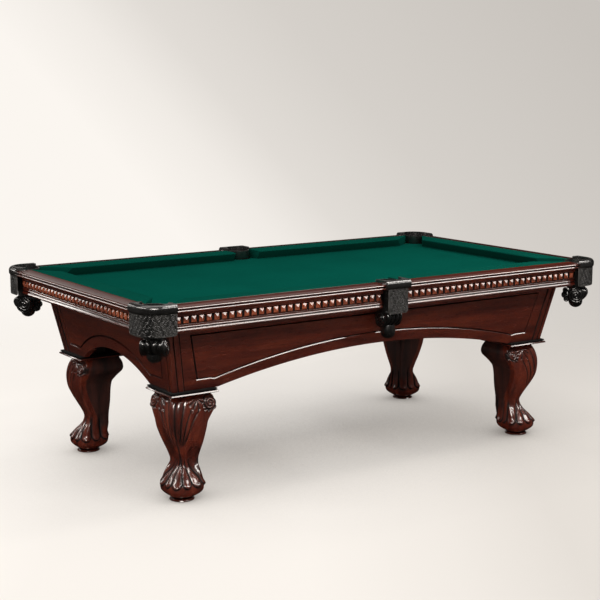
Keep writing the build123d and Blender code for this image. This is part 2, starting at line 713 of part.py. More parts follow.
def pocket_bag(x, y, outwards, half, cup_drop, curled):
    """Leather bag: a lipped throat, a rolled drum with bulging straps and a small cup below."""
    drum_z = rail_top - drum_drop
    cup_z = rail_top - cup_drop + cup_radius
    lip_top = rim_top - rim_round - bag_wall / 2
    throat = bag_throat + bag_wall
    neck = drum_radius - bag_wall / 2
    flare_low = slate_bottom + 2 * bag_wall
    flare_high = rim_bottom - 2 * bag_wall
    upright = Plane(origin=(x, y, 0), x_dir=outwards, z_dir=(outwards[1], -outwards[0], 0))
    axis = Axis((x, y, 0), (0, 0, 1))
    with BuildPart() as bag:
        with BuildSketch(upright):
            with BuildLine():
                Polyline((0, cup_z - cup_radius), (0, lip_top), (pocket_hole, lip_top),
                         (pocket_hole, flare_high), (throat, flare_low), (neck, drum_z),
                         (cup_radius, drum_z), (cup_radius, cup_z))
                ThreePointArc((cup_radius, cup_z),
                              (cup_radius / sqrt(2), cup_z - cup_radius / sqrt(2)),
                              (0, cup_z - cup_radius))
            make_face()
        revolve(axis=axis)
        with BuildSketch(upright):
            with Locations((0, drum_z)):
                Circle(drum_radius)
        extrude(amount=half, both=True)
        with BuildSketch(upright):
            with Locations((strap_forward, drum_z + strap_rise)):
                Circle(strap_radius)
        extrude(amount=half - strap_short, both=True)
        if curled:
            with BuildSketch(upright):
                with Locations((curl_sink - drum_radius - curl_radius, drum_z)):
                    Circle(curl_radius)
            extrude(amount=curl_half, both=True)
        with BuildSketch(upright):
            with BuildLine():
                wide = pocket_hole - bag_wall
                low = drum_z - drum_radius + 2 * bag_wall
                Polyline((0, low), (0, lip_top), (wide, lip_top), (wide, flare_high),
                         (bag_throat, flare_low), (neck - bag_wall, drum_z),
                         (cup_radius - 2 * bag_wall, low), (0, low))
            make_face()
        revolve(axis=axis, mode=Mode.SUBTRACT)
    return bag


for corner, (sx, sy) in corners.items():
    outwards = (sx / sqrt(2), sy / sqrt(2), 0)
    bag = pocket_bag(sx * corner_x, sy * corner_y, outwards, corner_drum_half, corner_cup_drop, True)
    save(bag, f"pocket_bag_{corner}")
for side, sy in sides.items():
    bag = pocket_bag(0, sy * side_y, (0, sy, 0), side_drum_half, side_cup_drop, False)
    save(bag, f"pocket_bag_{side}")
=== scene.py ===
"""Looks of the seven foot pool table: stained mahogany, green cloth and black leather pockets."""
from math import atan2, cos, exp, hypot, pi, radians, sin, sqrt

import bmesh
import bpy
from mathutils import Matrix, Vector


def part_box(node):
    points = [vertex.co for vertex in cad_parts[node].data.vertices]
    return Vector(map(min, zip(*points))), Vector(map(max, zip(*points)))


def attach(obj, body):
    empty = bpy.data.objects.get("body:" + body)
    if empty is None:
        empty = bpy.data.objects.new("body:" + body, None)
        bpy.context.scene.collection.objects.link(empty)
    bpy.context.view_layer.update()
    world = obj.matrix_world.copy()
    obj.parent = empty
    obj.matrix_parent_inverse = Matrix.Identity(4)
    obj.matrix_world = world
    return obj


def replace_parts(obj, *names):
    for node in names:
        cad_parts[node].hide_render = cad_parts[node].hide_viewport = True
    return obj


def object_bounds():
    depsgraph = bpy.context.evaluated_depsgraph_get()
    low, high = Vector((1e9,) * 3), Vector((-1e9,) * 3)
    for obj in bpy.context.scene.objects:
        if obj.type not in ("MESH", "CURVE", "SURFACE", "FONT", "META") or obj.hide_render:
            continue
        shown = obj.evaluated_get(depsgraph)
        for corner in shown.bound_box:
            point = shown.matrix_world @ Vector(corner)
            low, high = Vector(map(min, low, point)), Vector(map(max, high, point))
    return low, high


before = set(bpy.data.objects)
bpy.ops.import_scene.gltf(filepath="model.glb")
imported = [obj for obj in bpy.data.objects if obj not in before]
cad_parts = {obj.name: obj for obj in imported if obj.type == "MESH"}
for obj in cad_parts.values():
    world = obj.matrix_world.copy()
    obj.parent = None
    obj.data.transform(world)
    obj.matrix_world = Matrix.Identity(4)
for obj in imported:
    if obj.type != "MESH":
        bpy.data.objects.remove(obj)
cad_low, cad_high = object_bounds()
mm = 0.001

# ---- camera ------------------------------------------------------------------------------
# A long lens stands off the front left corner, a little above the rails.
eye = Vector((-3.395, -4.965, 1.6634))
turn_right = 34.06              # degrees away from straight at the front
tilt_down = 9.56
lens = bpy.data.cameras.new("camera")
lens.lens = 81.84
lens.clip_end = 60
camera = bpy.data.objects.new("camera", lens)
camera.location = eye
camera.rotation_euler = (radians(90 - tilt_down), 0, radians(-turn_right))
bpy.context.scene.collection.objects.link(camera)
bpy.context.scene.camera = camera
bpy.context.scene.view_settings.view_transform = "Standard"


# ---- studio ------------------------------------------------------------------------------
# A pale floor that melts into a paler room. An overhead box and a key box light the table, and
# long strips at the front, the left and the far left draw the bright lines along its mouldings.
def linear(colour):
    """Hex colour as linear RGBA."""
    parts = [int(colour[i:i + 2], 16) / 255 for i in (1, 3, 5)]
    return [c / 12.92 if c <= 0.04045 else ((c + 0.055) / 1.055) ** 2.4 for c in parts] + [1.0]


def add_node(tree, kind, inputs=None, **values):
    """New shader node; values set its properties or sockets, inputs are linked or set by name or number."""
    node = tree.nodes.new(kind)
    for key, value in values.items():
        if hasattr(node, key):
            setattr(node, key, value)
    for key, value in values.items():
        if not hasattr(node, key):
            node.inputs[key.replace("_", " ")].default_value = value
    for socket, source in (inputs or {}).items():
        if isinstance(source, bpy.types.NodeSocket):
            tree.links.new(source, node.inputs[socket])
        else:
            node.inputs[socket].default_value = source
    return node


def ramp(tree, factor, *stops):
    """Colour ramp through (position, hex colour) stops."""
    node = add_node(tree, "ShaderNodeValToRGB", {"Fac": factor})
    while len(node.color_ramp.elements) < len(stops):
        node.color_ramp.elements.new(0.5)
    for element, (position, colour) in zip(node.color_ramp.elements, stops):
        element.position = position
        element.color = linear(colour)
    return node.outputs["Color"]


def reach(tree, vector, direction, shift=0.0):
    """How far a vector reaches along a direction, plus a shift."""
    dot = add_node(tree, "ShaderNodeVectorMath", {0: vector, 1: direction}, operation="DOT_PRODUCT")
    return add_node(tree, "ShaderNodeMath", {0: dot.outputs["Value"], 1: shift}, operation="ADD").outputs[0]


multiply, add = ({"data_type": "RGBA", "blend_type": way} for way in ("MULTIPLY", "ADD"))
room = bpy.data.worlds.new("room")
bpy.context.scene.world = room
room.use_nodes = True
tree = room.node_tree
tree.nodes.clear()
toward = add_node(tree, "ShaderNodeTexCoord").outputs["Generated"]
wall = ramp(tree, reach(tree, toward, (-1.728, 0.826, -1.681), 0.75), (0.04, "#c8c3bd"), (0.42, "#d5d0ca"),
            (0.6, "#e1dcd6"), (0.7, "#f0ebe5"), (0.83, "#fbf6f0"))
# What lacquer and leather mirror: a dark room, paler to both sides, and two low cards behind the
# table, one for the tops of the long rails and one for the top of the left rail.
aside = add_node(tree, "ShaderNodeMath", {0: reach(tree, toward, (0.83, -0.56, 0))}, operation="ABSOLUTE")
gloom = ramp(tree, aside.outputs[0], (0.35, "#070606"), (0.8, "#22201e"), (1.0, "#4a4744"))
behind = reach(tree, toward, (0.47, 0.87, 0.15))
# direction, stops along it, where the card fades in, colour
cards = [((0, -1.574, 7.844), [(0.08, "#000000"), (0.26, "#ffffff"), (0.66, "#ffffff"), (0.86, "#000000")],
          0.9, "#837e79"),
         ((-7.2, 0, 20), [(0.36, "#000000"), (0.55, "#ffffff")], 0.94, "#827f7c")]
for direction, stops, start, colour in cards:
    band = ramp(tree, reach(tree, toward, direction, 0.5), *stops)
    card = ramp(tree, behind, (start, "#000000"), (0.985, colour))
    card = add_node(tree, "ShaderNodeMix", {0: 1.0, 6: card, 7: band}, **multiply).outputs[2]
    gloom = add_node(tree, "ShaderNodeMix", {0: 1.0, 6: gloom, 7: card}, **add).outputs[2]
side_glow = ramp(tree, reach(tree, toward, (-1, 0, 0)), (0.0, "#cfccc8"), (0.9, "#fffdfa"))
seen = add_node(tree, "ShaderNodeBackground", {"Color": wall}, Strength=1.0)
mirrored = add_node(tree, "ShaderNodeBackground", {"Color": gloom}, Strength=1.0)
glow = add_node(tree, "ShaderNodeBackground", {"Color": side_glow}, Strength=0.52)
rays = add_node(tree, "ShaderNodeLightPath").outputs
unseen = add_node(tree, "ShaderNodeMixShader",
                  {0: rays["Is Glossy Ray"], 1: glow.outputs[0], 2: mirrored.outputs[0]})
mixed = add_node(tree, "ShaderNodeMixShader",
                 {0: rays["Is Camera Ray"], 1: unseen.outputs[0], 2: seen.outputs[0]})
add_node(tree, "ShaderNodeOutputWorld", {"Surface": mixed.outputs[0]})

# name, place, target, width and height in metres, watts, colour
lamps = [("overhead_box", (-0.2, 0.3, 3.4), (-0.2, 0.3, 0), 4.2, 2.2, 34, "#fffaf4"),
         ("front_strip", (1.45, -1.02, 2.6), (1.45, -1.02, 0), 3.4, 0.36, 50, "#fffaf4"),
         ("low_strip", (1.75, -2.66, 2.6), (1.75, -2.66, 0), 4.2, 0.46, 66, "#fffaf4"),
         ("end_strip", (-1.74, 3.3, 2.3), (-1.74, 3.3, 0), 0.22, 1.8, 8, "#fffaf4"),
         ("low_end_strip", (-2.3, 3.0, 1.6), (-2.0, 1.9, 0), 0.16, 2.0, 9, "#fffaf4"),
         ("side_strip", (-2.75, 0.35, 2.3), (-2.75, 0.35, 0), 0.5, 2.6, 30, "#fffaf4"),
         ("key_box", (-2.7, -3.4, 3.0), (-0.6, -0.4, 0.4), 1.8, 0.8, 75, "#fff8f0")]
for name, place, target, width, height, power, colour in lamps:
    data = bpy.data.lights.new(name, "AREA")
    data.shape = "RECTANGLE"
    data.size, data.size_y = width, height
    data.energy = power
    data.color = linear(colour)[:3]
    lamp = bpy.data.objects.new(name, data)
    lamp.location = place
    lamp.rotation_euler = (Vector(target) - Vector(place)).to_track_quat("-Z", "Y").to_euler()
    bpy.context.scene.collection.objects.link(lamp)


def new_material(name):
    """Material with an empty node tree."""
    material = bpy.data.materials.new(name)
    material.use_nodes = True
    material.node_tree.nodes.clear()
    return material, material.node_tree


floor_half = 14.0
mesh = bpy.data.meshes.new("floor")
bm = bmesh.new()
bmesh.ops.create_grid(bm, x_segments=8, y_segments=8, size=floor_half)
bm.to_mesh(mesh)
bm.free()
floor = bpy.data.objects.new("floor", mesh)
bpy.context.scene.collection.objects.link(floor)
# Part of the floor's tone is its own light, so that it stays near white. Its tone is a painted pool of light,
# paler towards the left and darker towards the right. It darkens under the table, partly from the lamps' shadow
# and partly from a painted shadow in its glow, from ambient occlusion. It is painted dark where it is mirrored,
# and it turns clear where the room takes over.
floor_material, tree = new_material("floor_with_painted_light")
spot = add_node(tree, "ShaderNodeTexCoord").outputs["Object"]
away = add_node(tree, "ShaderNodeVectorMath", {0: spot}, operation="LENGTH").outputs["Value"]
fade = add_node(tree, "ShaderNodeMapRange", {"Value": away}, interpolation_type="SMOOTHSTEP",
                From_Min=1.7, From_Max=4.5)
# painted pool of light: paler towards the left, darker towards the right
painted_light_pool = ramp(tree, reach(tree, spot, (0.2075, -0.14, 0), 0.5), (0.16, "#fcf7f1"), (0.27, "#f4efe9"),
            (0.5, "#f2ede7"), (0.625, "#e8e3dd"), (0.73, "#dbd6d0"))
# painted shadow under the table, from ambient occlusion, put into the floor's glow
painted_shadow_ao = add_node(tree, "ShaderNodeAmbientOcclusion", samples=8, Distance=1.0)
glow_with_painted_shadow = ramp(tree, painted_shadow_ao.outputs["AO"], (0.2, "#959290"), (0.8, "#ffffff"))
glow_with_painted_shadow = add_node(tree, "ShaderNodeMix", {0: 1.0, 6: painted_light_pool, 7: glow_with_painted_shadow}, **multiply).outputs[2]
matt = add_node(tree, "ShaderNodeBsdfDiffuse", {"Color": painted_light_pool})
lit = add_node(tree, "ShaderNodeEmission", {"Color": glow_with_painted_shadow}, Strength=1.0)
# painted dark reflection: what glossy rays see of the floor
painted_dark_reflection = add_node(tree, "ShaderNodeBsdfDiffuse", Color=linear("#191715"))
clear = add_node(tree, "ShaderNodeBsdfTransparent")
rays = add_node(tree, "ShaderNodeLightPath").outputs
share = add_node(tree, "ShaderNodeMath", {0: rays["Is Camera Ray"], 1: 0.8}, operation="MULTIPLY").outputs[0]
surface = matt
for factor, other in ((share, lit), (rays["Is Glossy Ray"], painted_dark_reflection), (fade.outputs["Result"], clear)):
    surface = add_node(tree, "ShaderNodeMixShader", {0: factor, 1: surface.outputs[0], 2: other.outputs[0]})
add_node(tree, "ShaderNodeOutputMaterial", {"Surface": surface.outputs[0]})
mesh.materials.append(floor_material)


# ---- mahogany ----------------------------------------------------------------------------
# Red-brown stain with darker pores running along the grain, under a glossy lacquer. The vertex value "hollow"
# is painted shade in grooves and on shaded faces: it blackens the stain and takes the shine off. Inner
# corners are darkened by painted shade from ambient occlusion as well.
def add_surface(tree, inputs, **values):
    """Principled surface as the output of a material."""
    shader = add_node(tree, "ShaderNodeBsdfPrincipled", inputs, **values)
    add_node(tree, "ShaderNodeOutputMaterial", {"Surface": shader.outputs[0]})


def mahogany(name, run, dark="#390f08", middle="#4f1a0e", light="#61240f", gloss=0.24, lacquer=0.12):
    """Stained wood whose grain runs along axis `run` (0, 1 or 2)."""
    material, tree = new_material(name)
    coords = add_node(tree, "ShaderNodeTexCoord").outputs["Object"]

    def streaks(width, length, **values):
        """Noise drawn out along the grain."""
        scale = [1 / width] * 3
        scale[run] = 1 / length
        placed = add_node(tree, "ShaderNodeMapping", {"Vector": coords, "Scale": scale})
        noise = add_node(tree, "ShaderNodeTexNoise", {"Vector": placed.outputs[0]}, Scale=1.0, **values)
        return noise.outputs["Fac"]

    figure = streaks(38.46 * mm, 454.5 * mm, Detail=5.0, Roughness=0.62, Distortion=0.6)
    pores = streaks(1.5385 * mm, 45.45 * mm, Detail=3.0, Roughness=0.7)
    # painted shade in grooves and on shaded faces, from the vertex value hollow
    hollowness = add_node(tree, "ShaderNodeAttribute", attribute_name="hollow").outputs["Fac"]
    # painted shade in inner corners
    painted_corner_shade = add_node(tree, "ShaderNodeAmbientOcclusion", samples=6, Distance=9 * mm).outputs["AO"]
    stain_and_shade = ramp(tree, figure, (0.3, dark), (0.5, middle), (0.72, light))
    for share, layer in ((0.55, ramp(tree, pores, (0.36, "#4a4a4a"), (0.5, "#ffffff"))),
                         (1.0, ramp(tree, painted_corner_shade, (0.25, "#140a08"), (0.75, "#ffffff"))),
                         (1.0, ramp(tree, hollowness, (0.0, "#ffffff"), (0.75, "#140906")))):
        stain_and_shade = add_node(tree, "ShaderNodeMix", {0: share, 6: stain_and_shade, 7: layer}, **multiply).outputs[2]
    rough = add_node(tree, "ShaderNodeMapRange", {"Value": pores}, To_Min=gloss + 0.16, To_Max=gloss - 0.04)
    dull = add_node(tree, "ShaderNodeMath", {0: hollowness, 1: 0.6, 2: rough.outputs[0]}, operation="MULTIPLY_ADD")
    lacquered = add_node(tree, "ShaderNodeMapRange", {"Value": hollowness}, From_Max=0.8, To_Min=1.0, To_Max=0.0)
    bump = add_node(tree, "ShaderNodeBump", {"Height": pores}, Strength=0.08, Distance=0.4 * mm)
    add_surface(tree, {"Base Color": stain_and_shade, "Roughness": dull.outputs[0], "Normal": bump.outputs[0],
                       "Coat Weight": lacquered.outputs[0]},
                Coat_IOR=1.75, Coat_Roughness=lacquer, Specular_IOR_Level=0.6)
    return material


mahogany_x = mahogany("mahogany_grain_x", 0)
mahogany_y = mahogany("mahogany_grain_y", 1)


# ---- rails -------------------------------------------------------------------------------
# One moulded section for all six: flat top, bead, cove, dentil channel and a heavy lower bead.
# Corners and sides are named as in the frame; sx and sy point outwards.
def face_outwards(bm):
    """Makes the faces of each closed shell look outwards, told by the sign of the volume they hold."""
    bmesh.ops.recalc_face_normals(bm, faces=bm.faces)
    bm.normal_update()
    walked, inward = set(), []
    for first in bm.faces:
        if first in walked:
            continue
        walked.add(first)
        shell = [first]
        for face in shell:          # grows while it is walked
            near = [f for edge in face.edges for f in edge.link_faces if f not in walked]
            for other in near:
                if other not in walked:
                    walked.add(other)
                    shell.append(other)
        origin = first.verts[0].co
        if sum(f.calc_area() * f.normal.dot(f.verts[0].co - origin) for f in shell) < 0:
            inward += shell
    bmesh.ops.reverse_faces(bm, faces=inward)


def new_piece(name, bm, material, body="table", smooth=35):
    """Turns a bmesh into a piece that rides on a body, smooth except at edges sharper than `smooth`."""
    face_outwards(bm)
    for edge in bm.edges:
        edge.smooth = len(edge.link_faces) == 2 and edge.calc_face_angle(0) < radians(smooth)
    for face in bm.faces:
        face.smooth = True
    mesh = bpy.data.meshes.new(name)
    bm.to_mesh(mesh)
    bm.free()
    mesh.materials.append(material)
    piece = bpy.data.objects.new(name, mesh)
    bpy.context.scene.collection.objects.link(piece)
    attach(piece, body)
    return piece


def arc(start, end, bulge, count=6):
    """Points of the arc from start to end, without start; bulge is its height, left of the chord."""
    chord = Vector(end) - Vector(start)
    half = chord.length / 2
    radius = (half * half + bulge * bulge) / (2 * abs(bulge))
    side = 1 if bulge > 0 else -1
    normal = Vector((-chord.y, chord.x)).normalized() * side
    centre = (Vector(start) + Vector(end)) / 2 + normal * (abs(bulge) - radius)
    first = Vector(start) - centre
    last = Vector(end) - centre
    sweep = first.angle_signed(last)
    points = []
    for k in range(1, count + 1):
        angle = -sweep * k / count
        points.append((centre.x + first.x * cos(angle) - first.y * sin(angle),
                       centre.y + first.x * sin(angle) + first.y * cos(angle)))
    return points


def draw_out(bm, faces, shift):
    """Makes flat faces a solid by drawing them out by a shift."""
    grown = bmesh.ops.extrude_face_region(bm, geom=faces)["geom"]
    bmesh.ops.translate(bm, vec=shift, verts=[v for v in grown if isinstance(v, bmesh.types.BMVert)])


corners = {"front_left": (-1, -1), "front_right": (1, -1), "back_left": (-1, 1), "back_right": (1, 1)}
ends = {"left": -1, "right": 1}
half_length, half_width = cad_high.x, cad_high.y
rail_low, rail_top = (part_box("rail_left")[i].z for i in (0, 1))
rail_inner_end, rail_outer_end = (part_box("rail_front_right")[i].x for i in (0, 1))
short_rail_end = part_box("rail_right")[1].y
bed_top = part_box("bed_cloth")[1].z
channel_back = half_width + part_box("dentils_front_left")[1].y
channel_low, channel_high = (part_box("dentils_left")[i].z for i in (0, 1))
top_width = 66 * mm
foot_width = 84 * mm


def run(inwards, below):
    """Outline point of a rail, from millimetres in from the outside and below the top."""
    return inwards * mm, rail_top - below * mm


def facet(start, end, rounding=0.16):
    """Slanted face of a moulding, rounded a little so that light runs along it."""
    return [run(*start)] + arc(run(*start), run(*end), rounding * mm, 3)


rail_outline = [(top_width, rail_top), (top_width, bed_top), (foot_width, bed_top), (foot_width, rail_low)]
rail_outline += [(36 * mm, rail_low), run(36, 101.5), run(29.5, 101), run(26.5, 98)]
rail_outline += facet((27.1, 96.3), (30.5, 90), 0.1) + [run(34, 89), run(34, 86.5)]
rail_outline += facet((28, 84.8), (30, 81), 0.1) + [run(30, 77), run(28, 76.5)]
rail_outline += arc(rail_outline[-1], run(28, 70.5), 3 * mm, 6) + [run(30, 70)]
rail_outline += [(channel_back, rail_top - 70 * mm), (channel_back, channel_high), (26 * mm, channel_high)]
rail_outline += arc(rail_outline[-1], run(9, 23), -6 * mm, 10)
rail_outline += [run(4, 22.5)] + facet((4, 20.1), (7.6, 16.5)) + [run(13, 15.5), run(13, 10.5), run(5.5, 10)]
rail_outline += facet((5, 9), (8, 6)) + [run(8.3, 3), run(64.2, 1)]


def along_x(sy):
    """Puts (along, inwards, height) in place on a long side."""
    return lambda along, inwards, height: Vector((along, sy * (half_width - inwards), height))


def along_y(sx):
    """Puts (along, inwards, height) in place on a short side."""
    return lambda along, inwards, height: Vector((sx * (half_length - inwards), along, height))


def rail(name, place, low, high, material):
    """Rail from low to high along its side, in place of its plain solid."""
    bm = bmesh.new()
    cap = bm.faces.new([bm.verts.new(place(low, inwards, height)) for inwards, height in rail_outline])
    draw_out(bm, [cap], place(high, 0, 0) - place(low, 0, 0))
    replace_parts(new_piece(f"{name}_wood", bm, material), name)


for corner, (sx, sy) in corners.items():
    rail(f"rail_{corner}", along_x(sy), sx * rail_inner_end, sx * rail_outer_end, mahogany_x)
for end, sx in ends.items():
    rail(f"rail_{end}", along_y(sx), -short_rail_end, short_rail_end, mahogany_y)


# ---- dentils -----------------------------------------------------------------------------
# Diamond-pointed blocks, coloured lighter than the rails, on a backing board let into the rail's channel; the
# backing and the feet of the blocks are painted dark, as shade between the blocks.
dentil_x = mahogany("dentil_grain_x", 0, "#5a2414", "#8f4429", "#b8643c", gloss=0.3, lacquer=0.18)
dentil_y = mahogany("dentil_grain_y", 1, "#5a2414", "#8f4429", "#b8643c", gloss=0.3, lacquer=0.18)
dentil_pitch = 33 * mm
dentil_width = 21.5 * mm
dentil_height = 25 * mm
dentil_edge = 1.2 * mm
backing = 6 * mm
block_stand = 5 * mm
point_rise = 6 * mm


def step(low, high, value):
    """Smooth step from 0 at low to 1 at high."""
    t = min(1, max(0, (value - low) / (high - low)))
    return t * t * (3 - 2 * t)


def hollowed_mesh():
    """Empty bmesh, and its layer for how hollow each vertex lies, which the materials turn into painted shade.
    """
    bm = bmesh.new()
    return bm, bm.verts.layers.float.new("hollow")


def dentil_strip(name, length, place, material):
    """Backing board with its row of blocks, in place of its plain solid."""
    bm, hollow_layer = hollowed_mesh()
    middle = (channel_low + channel_high) / 2 + 1.2 * mm

    def block(centre, width, height, low, high):
        """Box from low to high out of the channel; its front face comes first."""
        made = bmesh.ops.create_cube(bm, size=1)["verts"]
        bmesh.ops.scale(bm, vec=(width, high - low, height), verts=made)
        bmesh.ops.translate(bm, vec=(centre, -(low + high) / 2, middle), verts=made)
        return sorted({f for v in made for f in v.link_faces}, key=lambda f: f.calc_center_median().y)

    block(0, length, channel_high - channel_low, 0, backing)
    count = int(length // dentil_pitch)
    fronts = [block((i - (count - 1) / 2) * dentil_pitch, dentil_width, dentil_height, backing,
                    backing + block_stand)[0] for i in range(count)]
    bmesh.ops.inset_individual(bm, faces=fronts, thickness=dentil_edge, depth=1 * mm)
    bmesh.ops.poke(bm, faces=fronts, offset=point_rise)
    for v in bm.verts:
        # painted shade: the backing and the feet of the blocks are darkened
        v[hollow_layer] = 1 - step(backing + 1 * mm, backing + 5 * mm, -v.co.y)
        v.co = place(v.co.x, channel_back + v.co.y, v.co.z)
    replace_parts(new_piece(f"{name}_blocks", bm, material, smooth=8), name)


half_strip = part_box("dentils_front_left")[1].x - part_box("dentils_front_left")[0].x
full_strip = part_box("dentils_left")[1].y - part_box("dentils_left")[0].y
strip_middle = (rail_inner_end + rail_outer_end) / 2
for corner, (sx, sy) in corners.items():
    dentil_strip(f"dentils_{corner}", half_strip,
                 lambda u, d, z: along_x(sy)(sx * strip_middle + u, d, z), dentil_x)
for end, sx in ends.items():
    dentil_strip(f"dentils_{end}", full_strip, along_y(sx), dentil_y)


# ---- cloth and cushions --------------------------------------------------------------------
# Napped green wool, stretched over the slates and wrapped over the cushion rubber.
def cloth_material(name, dark, light):
    """Wool whose fibres, 0.7 mm across, and faint cloudy nap give a flat green with no shine."""
    material, tree = new_material(name)
    coords = add_node(tree, "ShaderNodeTexCoord").outputs["Object"]
    weave = add_node(tree, "ShaderNodeTexNoise", {"Vector": coords}, Scale=1 / (0.7143 * mm), Detail=3.0,
                     Roughness=0.7).outputs["Fac"]
    cloud = add_node(tree, "ShaderNodeTexNoise", {"Vector": coords}, Scale=1 / (333.3 * mm), Detail=2.0)
    fibre = ramp(tree, weave, (0.3, dark), (0.7, light))
    nap = ramp(tree, cloud.outputs["Fac"], (0.35, "#f2f2f2"), (0.65, "#ffffff"))
    colour = add_node(tree, "ShaderNodeMix", {0: 1.0, 6: fibre, 7: nap}, **multiply)
    bump = add_node(tree, "ShaderNodeBump", {"Height": weave}, Strength=0.25, Distance=0.3 * mm)
    add_surface(tree, {"Base Color": colour.outputs[2], "Normal": bump.outputs[0]}, Roughness=0.95,
                Specular_IOR_Level=0.0, Sheen_Weight=0.02, Sheen_Roughness=0.5, Sheen_Tint=linear("#2f9a86"))
    return material


def skin(bm, rings, capped=(0, -1)):
    """Joins each closed ring of vertices to the next one; gives the caps over the capped rings."""
    for near, far in zip(rings, rings[1:]):
        for i in range(len(near)):
            j = (i + 1) % len(near)
            bm.faces.new((near[i], near[j], far[j], far[i]))
    return [bm.faces.new(rings[i]) for i in capped]


cloth = cloth_material("green_cloth", "#03382f", "#054b41")
# The cushion cloth is a slightly darker copy of the bed cloth: painted shade on the cushions.
cushion_cloth_painted_shade = cloth_material("green_cushion_cloth", "#04352c", "#06473d")
core_width = 128 * mm
nose_width = 165 * mm
nose_z = bed_top + 36.3 * mm
play_x, play_y = half_length - nose_width, half_width - nose_width
mouth_back = 124 * mm / sqrt(2)
corner_slope = 1.28             # how fast a corner facing opens, along per inwards
side_half_mouth = 68.5 * mm
side_slope = 0.25
cushion_outline = [(top_width, bed_top + 0.5 * mm), (top_width, rail_top), (core_width, rail_top)]
cushion_outline += [(nose_width - 9 * mm, nose_z + 2.6 * mm)]
cushion_outline += arc(cushion_outline[-1], (nose_width - 3 * mm, nose_z - 3 * mm), 3.6 * mm, 10)
cushion_outline += [(core_width + 10 * mm, bed_top + 0.5 * mm)]


def corner_end(inwards, play):
    """Where a cushion ends at a corner pocket, at a distance in from the outer edge."""
    return play - mouth_back + (nose_width - inwards) * corner_slope


def side_end(inwards):
    """Where a cushion ends at a side pocket."""
    return max(rail_inner_end, side_half_mouth - (nose_width - inwards) * side_slope)


def cushion(name, place, low_end, high_end):
    """Cushion from one facing to the other; the ends are functions of the distance inwards."""
    bm = bmesh.new()
    stations = 24
    rings = []
    for k in range(stations + 1):
        ring = []
        for inwards, height in cushion_outline:
            start, stop = low_end(inwards), high_end(inwards)
            ring.append(bm.verts.new(place(start + (stop - start) * (k / stations), inwards, height)))
        rings.append(ring)
    caps = skin(bm, rings)
    bmesh.ops.recalc_face_normals(bm, faces=bm.faces)
    hard = {e for cap in caps for e in cap.edges if e.calc_face_angle(0) > radians(20)}
    bmesh.ops.bevel(bm, geom=list(hard), offset=2.2 * mm, segments=3, affect="EDGES", profile=0.5,
                    material=-1, clamp_overlap=True)
    piece = new_piece(f"{name}_cloth", bm, cushion_cloth_painted_shade, smooth=30)
    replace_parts(piece, name)


for corner, (sx, sy) in corners.items():
    cushion(f"cushion_{corner}", along_x(sy), lambda d: sx * side_end(d), lambda d: sx * corner_end(d, play_x))
for end, sx in ends.items():
    cushion(f"cushion_{end}", along_y(sx), lambda d: -corner_end(d, play_y), lambda d: corner_end(d, play_y))

slate_x, slate_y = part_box("bed_cloth")[1].x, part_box("bed_cloth")[1].y
bite = 60 * mm                  # radius cut out of the cloth at each pocket
corner_x, corner_y = half_length - 74 * mm, half_width - 74 * mm
side_y = half_width - 70 * mm


def cloth_quarter(sx, sy):
    """Edge of the cloth from the middle of a long side to the middle of a short side."""
    points = []
    for x, y, count in ((0, side_y, 9), (corner_x, corner_y, 13)):
        start = atan2(slate_y - y, -sqrt(bite**2 - (slate_y - y) ** 2)) if x else -pi / 2
        stop = -pi - start - pi / 2 if x else atan2(slate_y - y, sqrt(bite**2 - (slate_y - y) ** 2))
        for k in range(count):
            angle = start + (stop - start) * k / (count - 1)
            points.append((x + bite * cos(angle), y + bite * sin(angle)))
    points += [(slate_x, 0)]
    return [(sx * x, sy * y) for x, y in points]


outline = cloth_quarter(1, 1) + cloth_quarter(1, -1)[::-1][1:] + cloth_quarter(-1, -1)[1:]
outline += cloth_quarter(-1, 1)[::-1][1:-1]
bm = bmesh.new()
top = bm.faces.new([bm.verts.new((x, y, bed_top)) for x, y in outline])
flat_area = top.calc_area()
bmesh.ops.triangulate(bm, faces=[top])
bmesh.ops.recalc_face_normals(bm, faces=bm.faces)
draw_out(bm, list(bm.faces), (0, 0, -1 * mm))
bed = new_piece("bed_cloth_sheet", bm, cloth, smooth=30)
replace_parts(bed, "bed_cloth")


# ---- cabinet -----------------------------------------------------------------------------
# Four leaning boards, each with a panel that follows the arch inside a routed groove, painted dark as shade,
# whose facet catches a bright line. A fluted post covers each corner, painted dark as shade in its grooves,
# under a small moulding.
sides = {"front": -1, "back": 1}
base_z, apron_top = (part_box("apron_front")[i].z for i in (0, 1))
base_verts = [v.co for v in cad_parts["apron_front"].data.vertices if v.co.z < base_z + mm]
base_x = max(v.x for v in base_verts)
base_y = max(-v.y for v in base_verts)
lean = (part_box("apron_left")[1].y - base_y) / (apron_top - base_z)
apron_thick = 25 * mm
toe_out = 22 * mm               # the panel's short level toe, outside the foot of its arch
toe_drop = 4 * mm
# width and depth of each step of the groove, and whether it is painted dark, as shade
groove_steps = [(0.8 * mm, -4 * mm, 1), (2.6 * mm, 0, 1), (0.8 * mm, 5 * mm, 1), (1.4 * mm, 1.3 * mm, 0)]


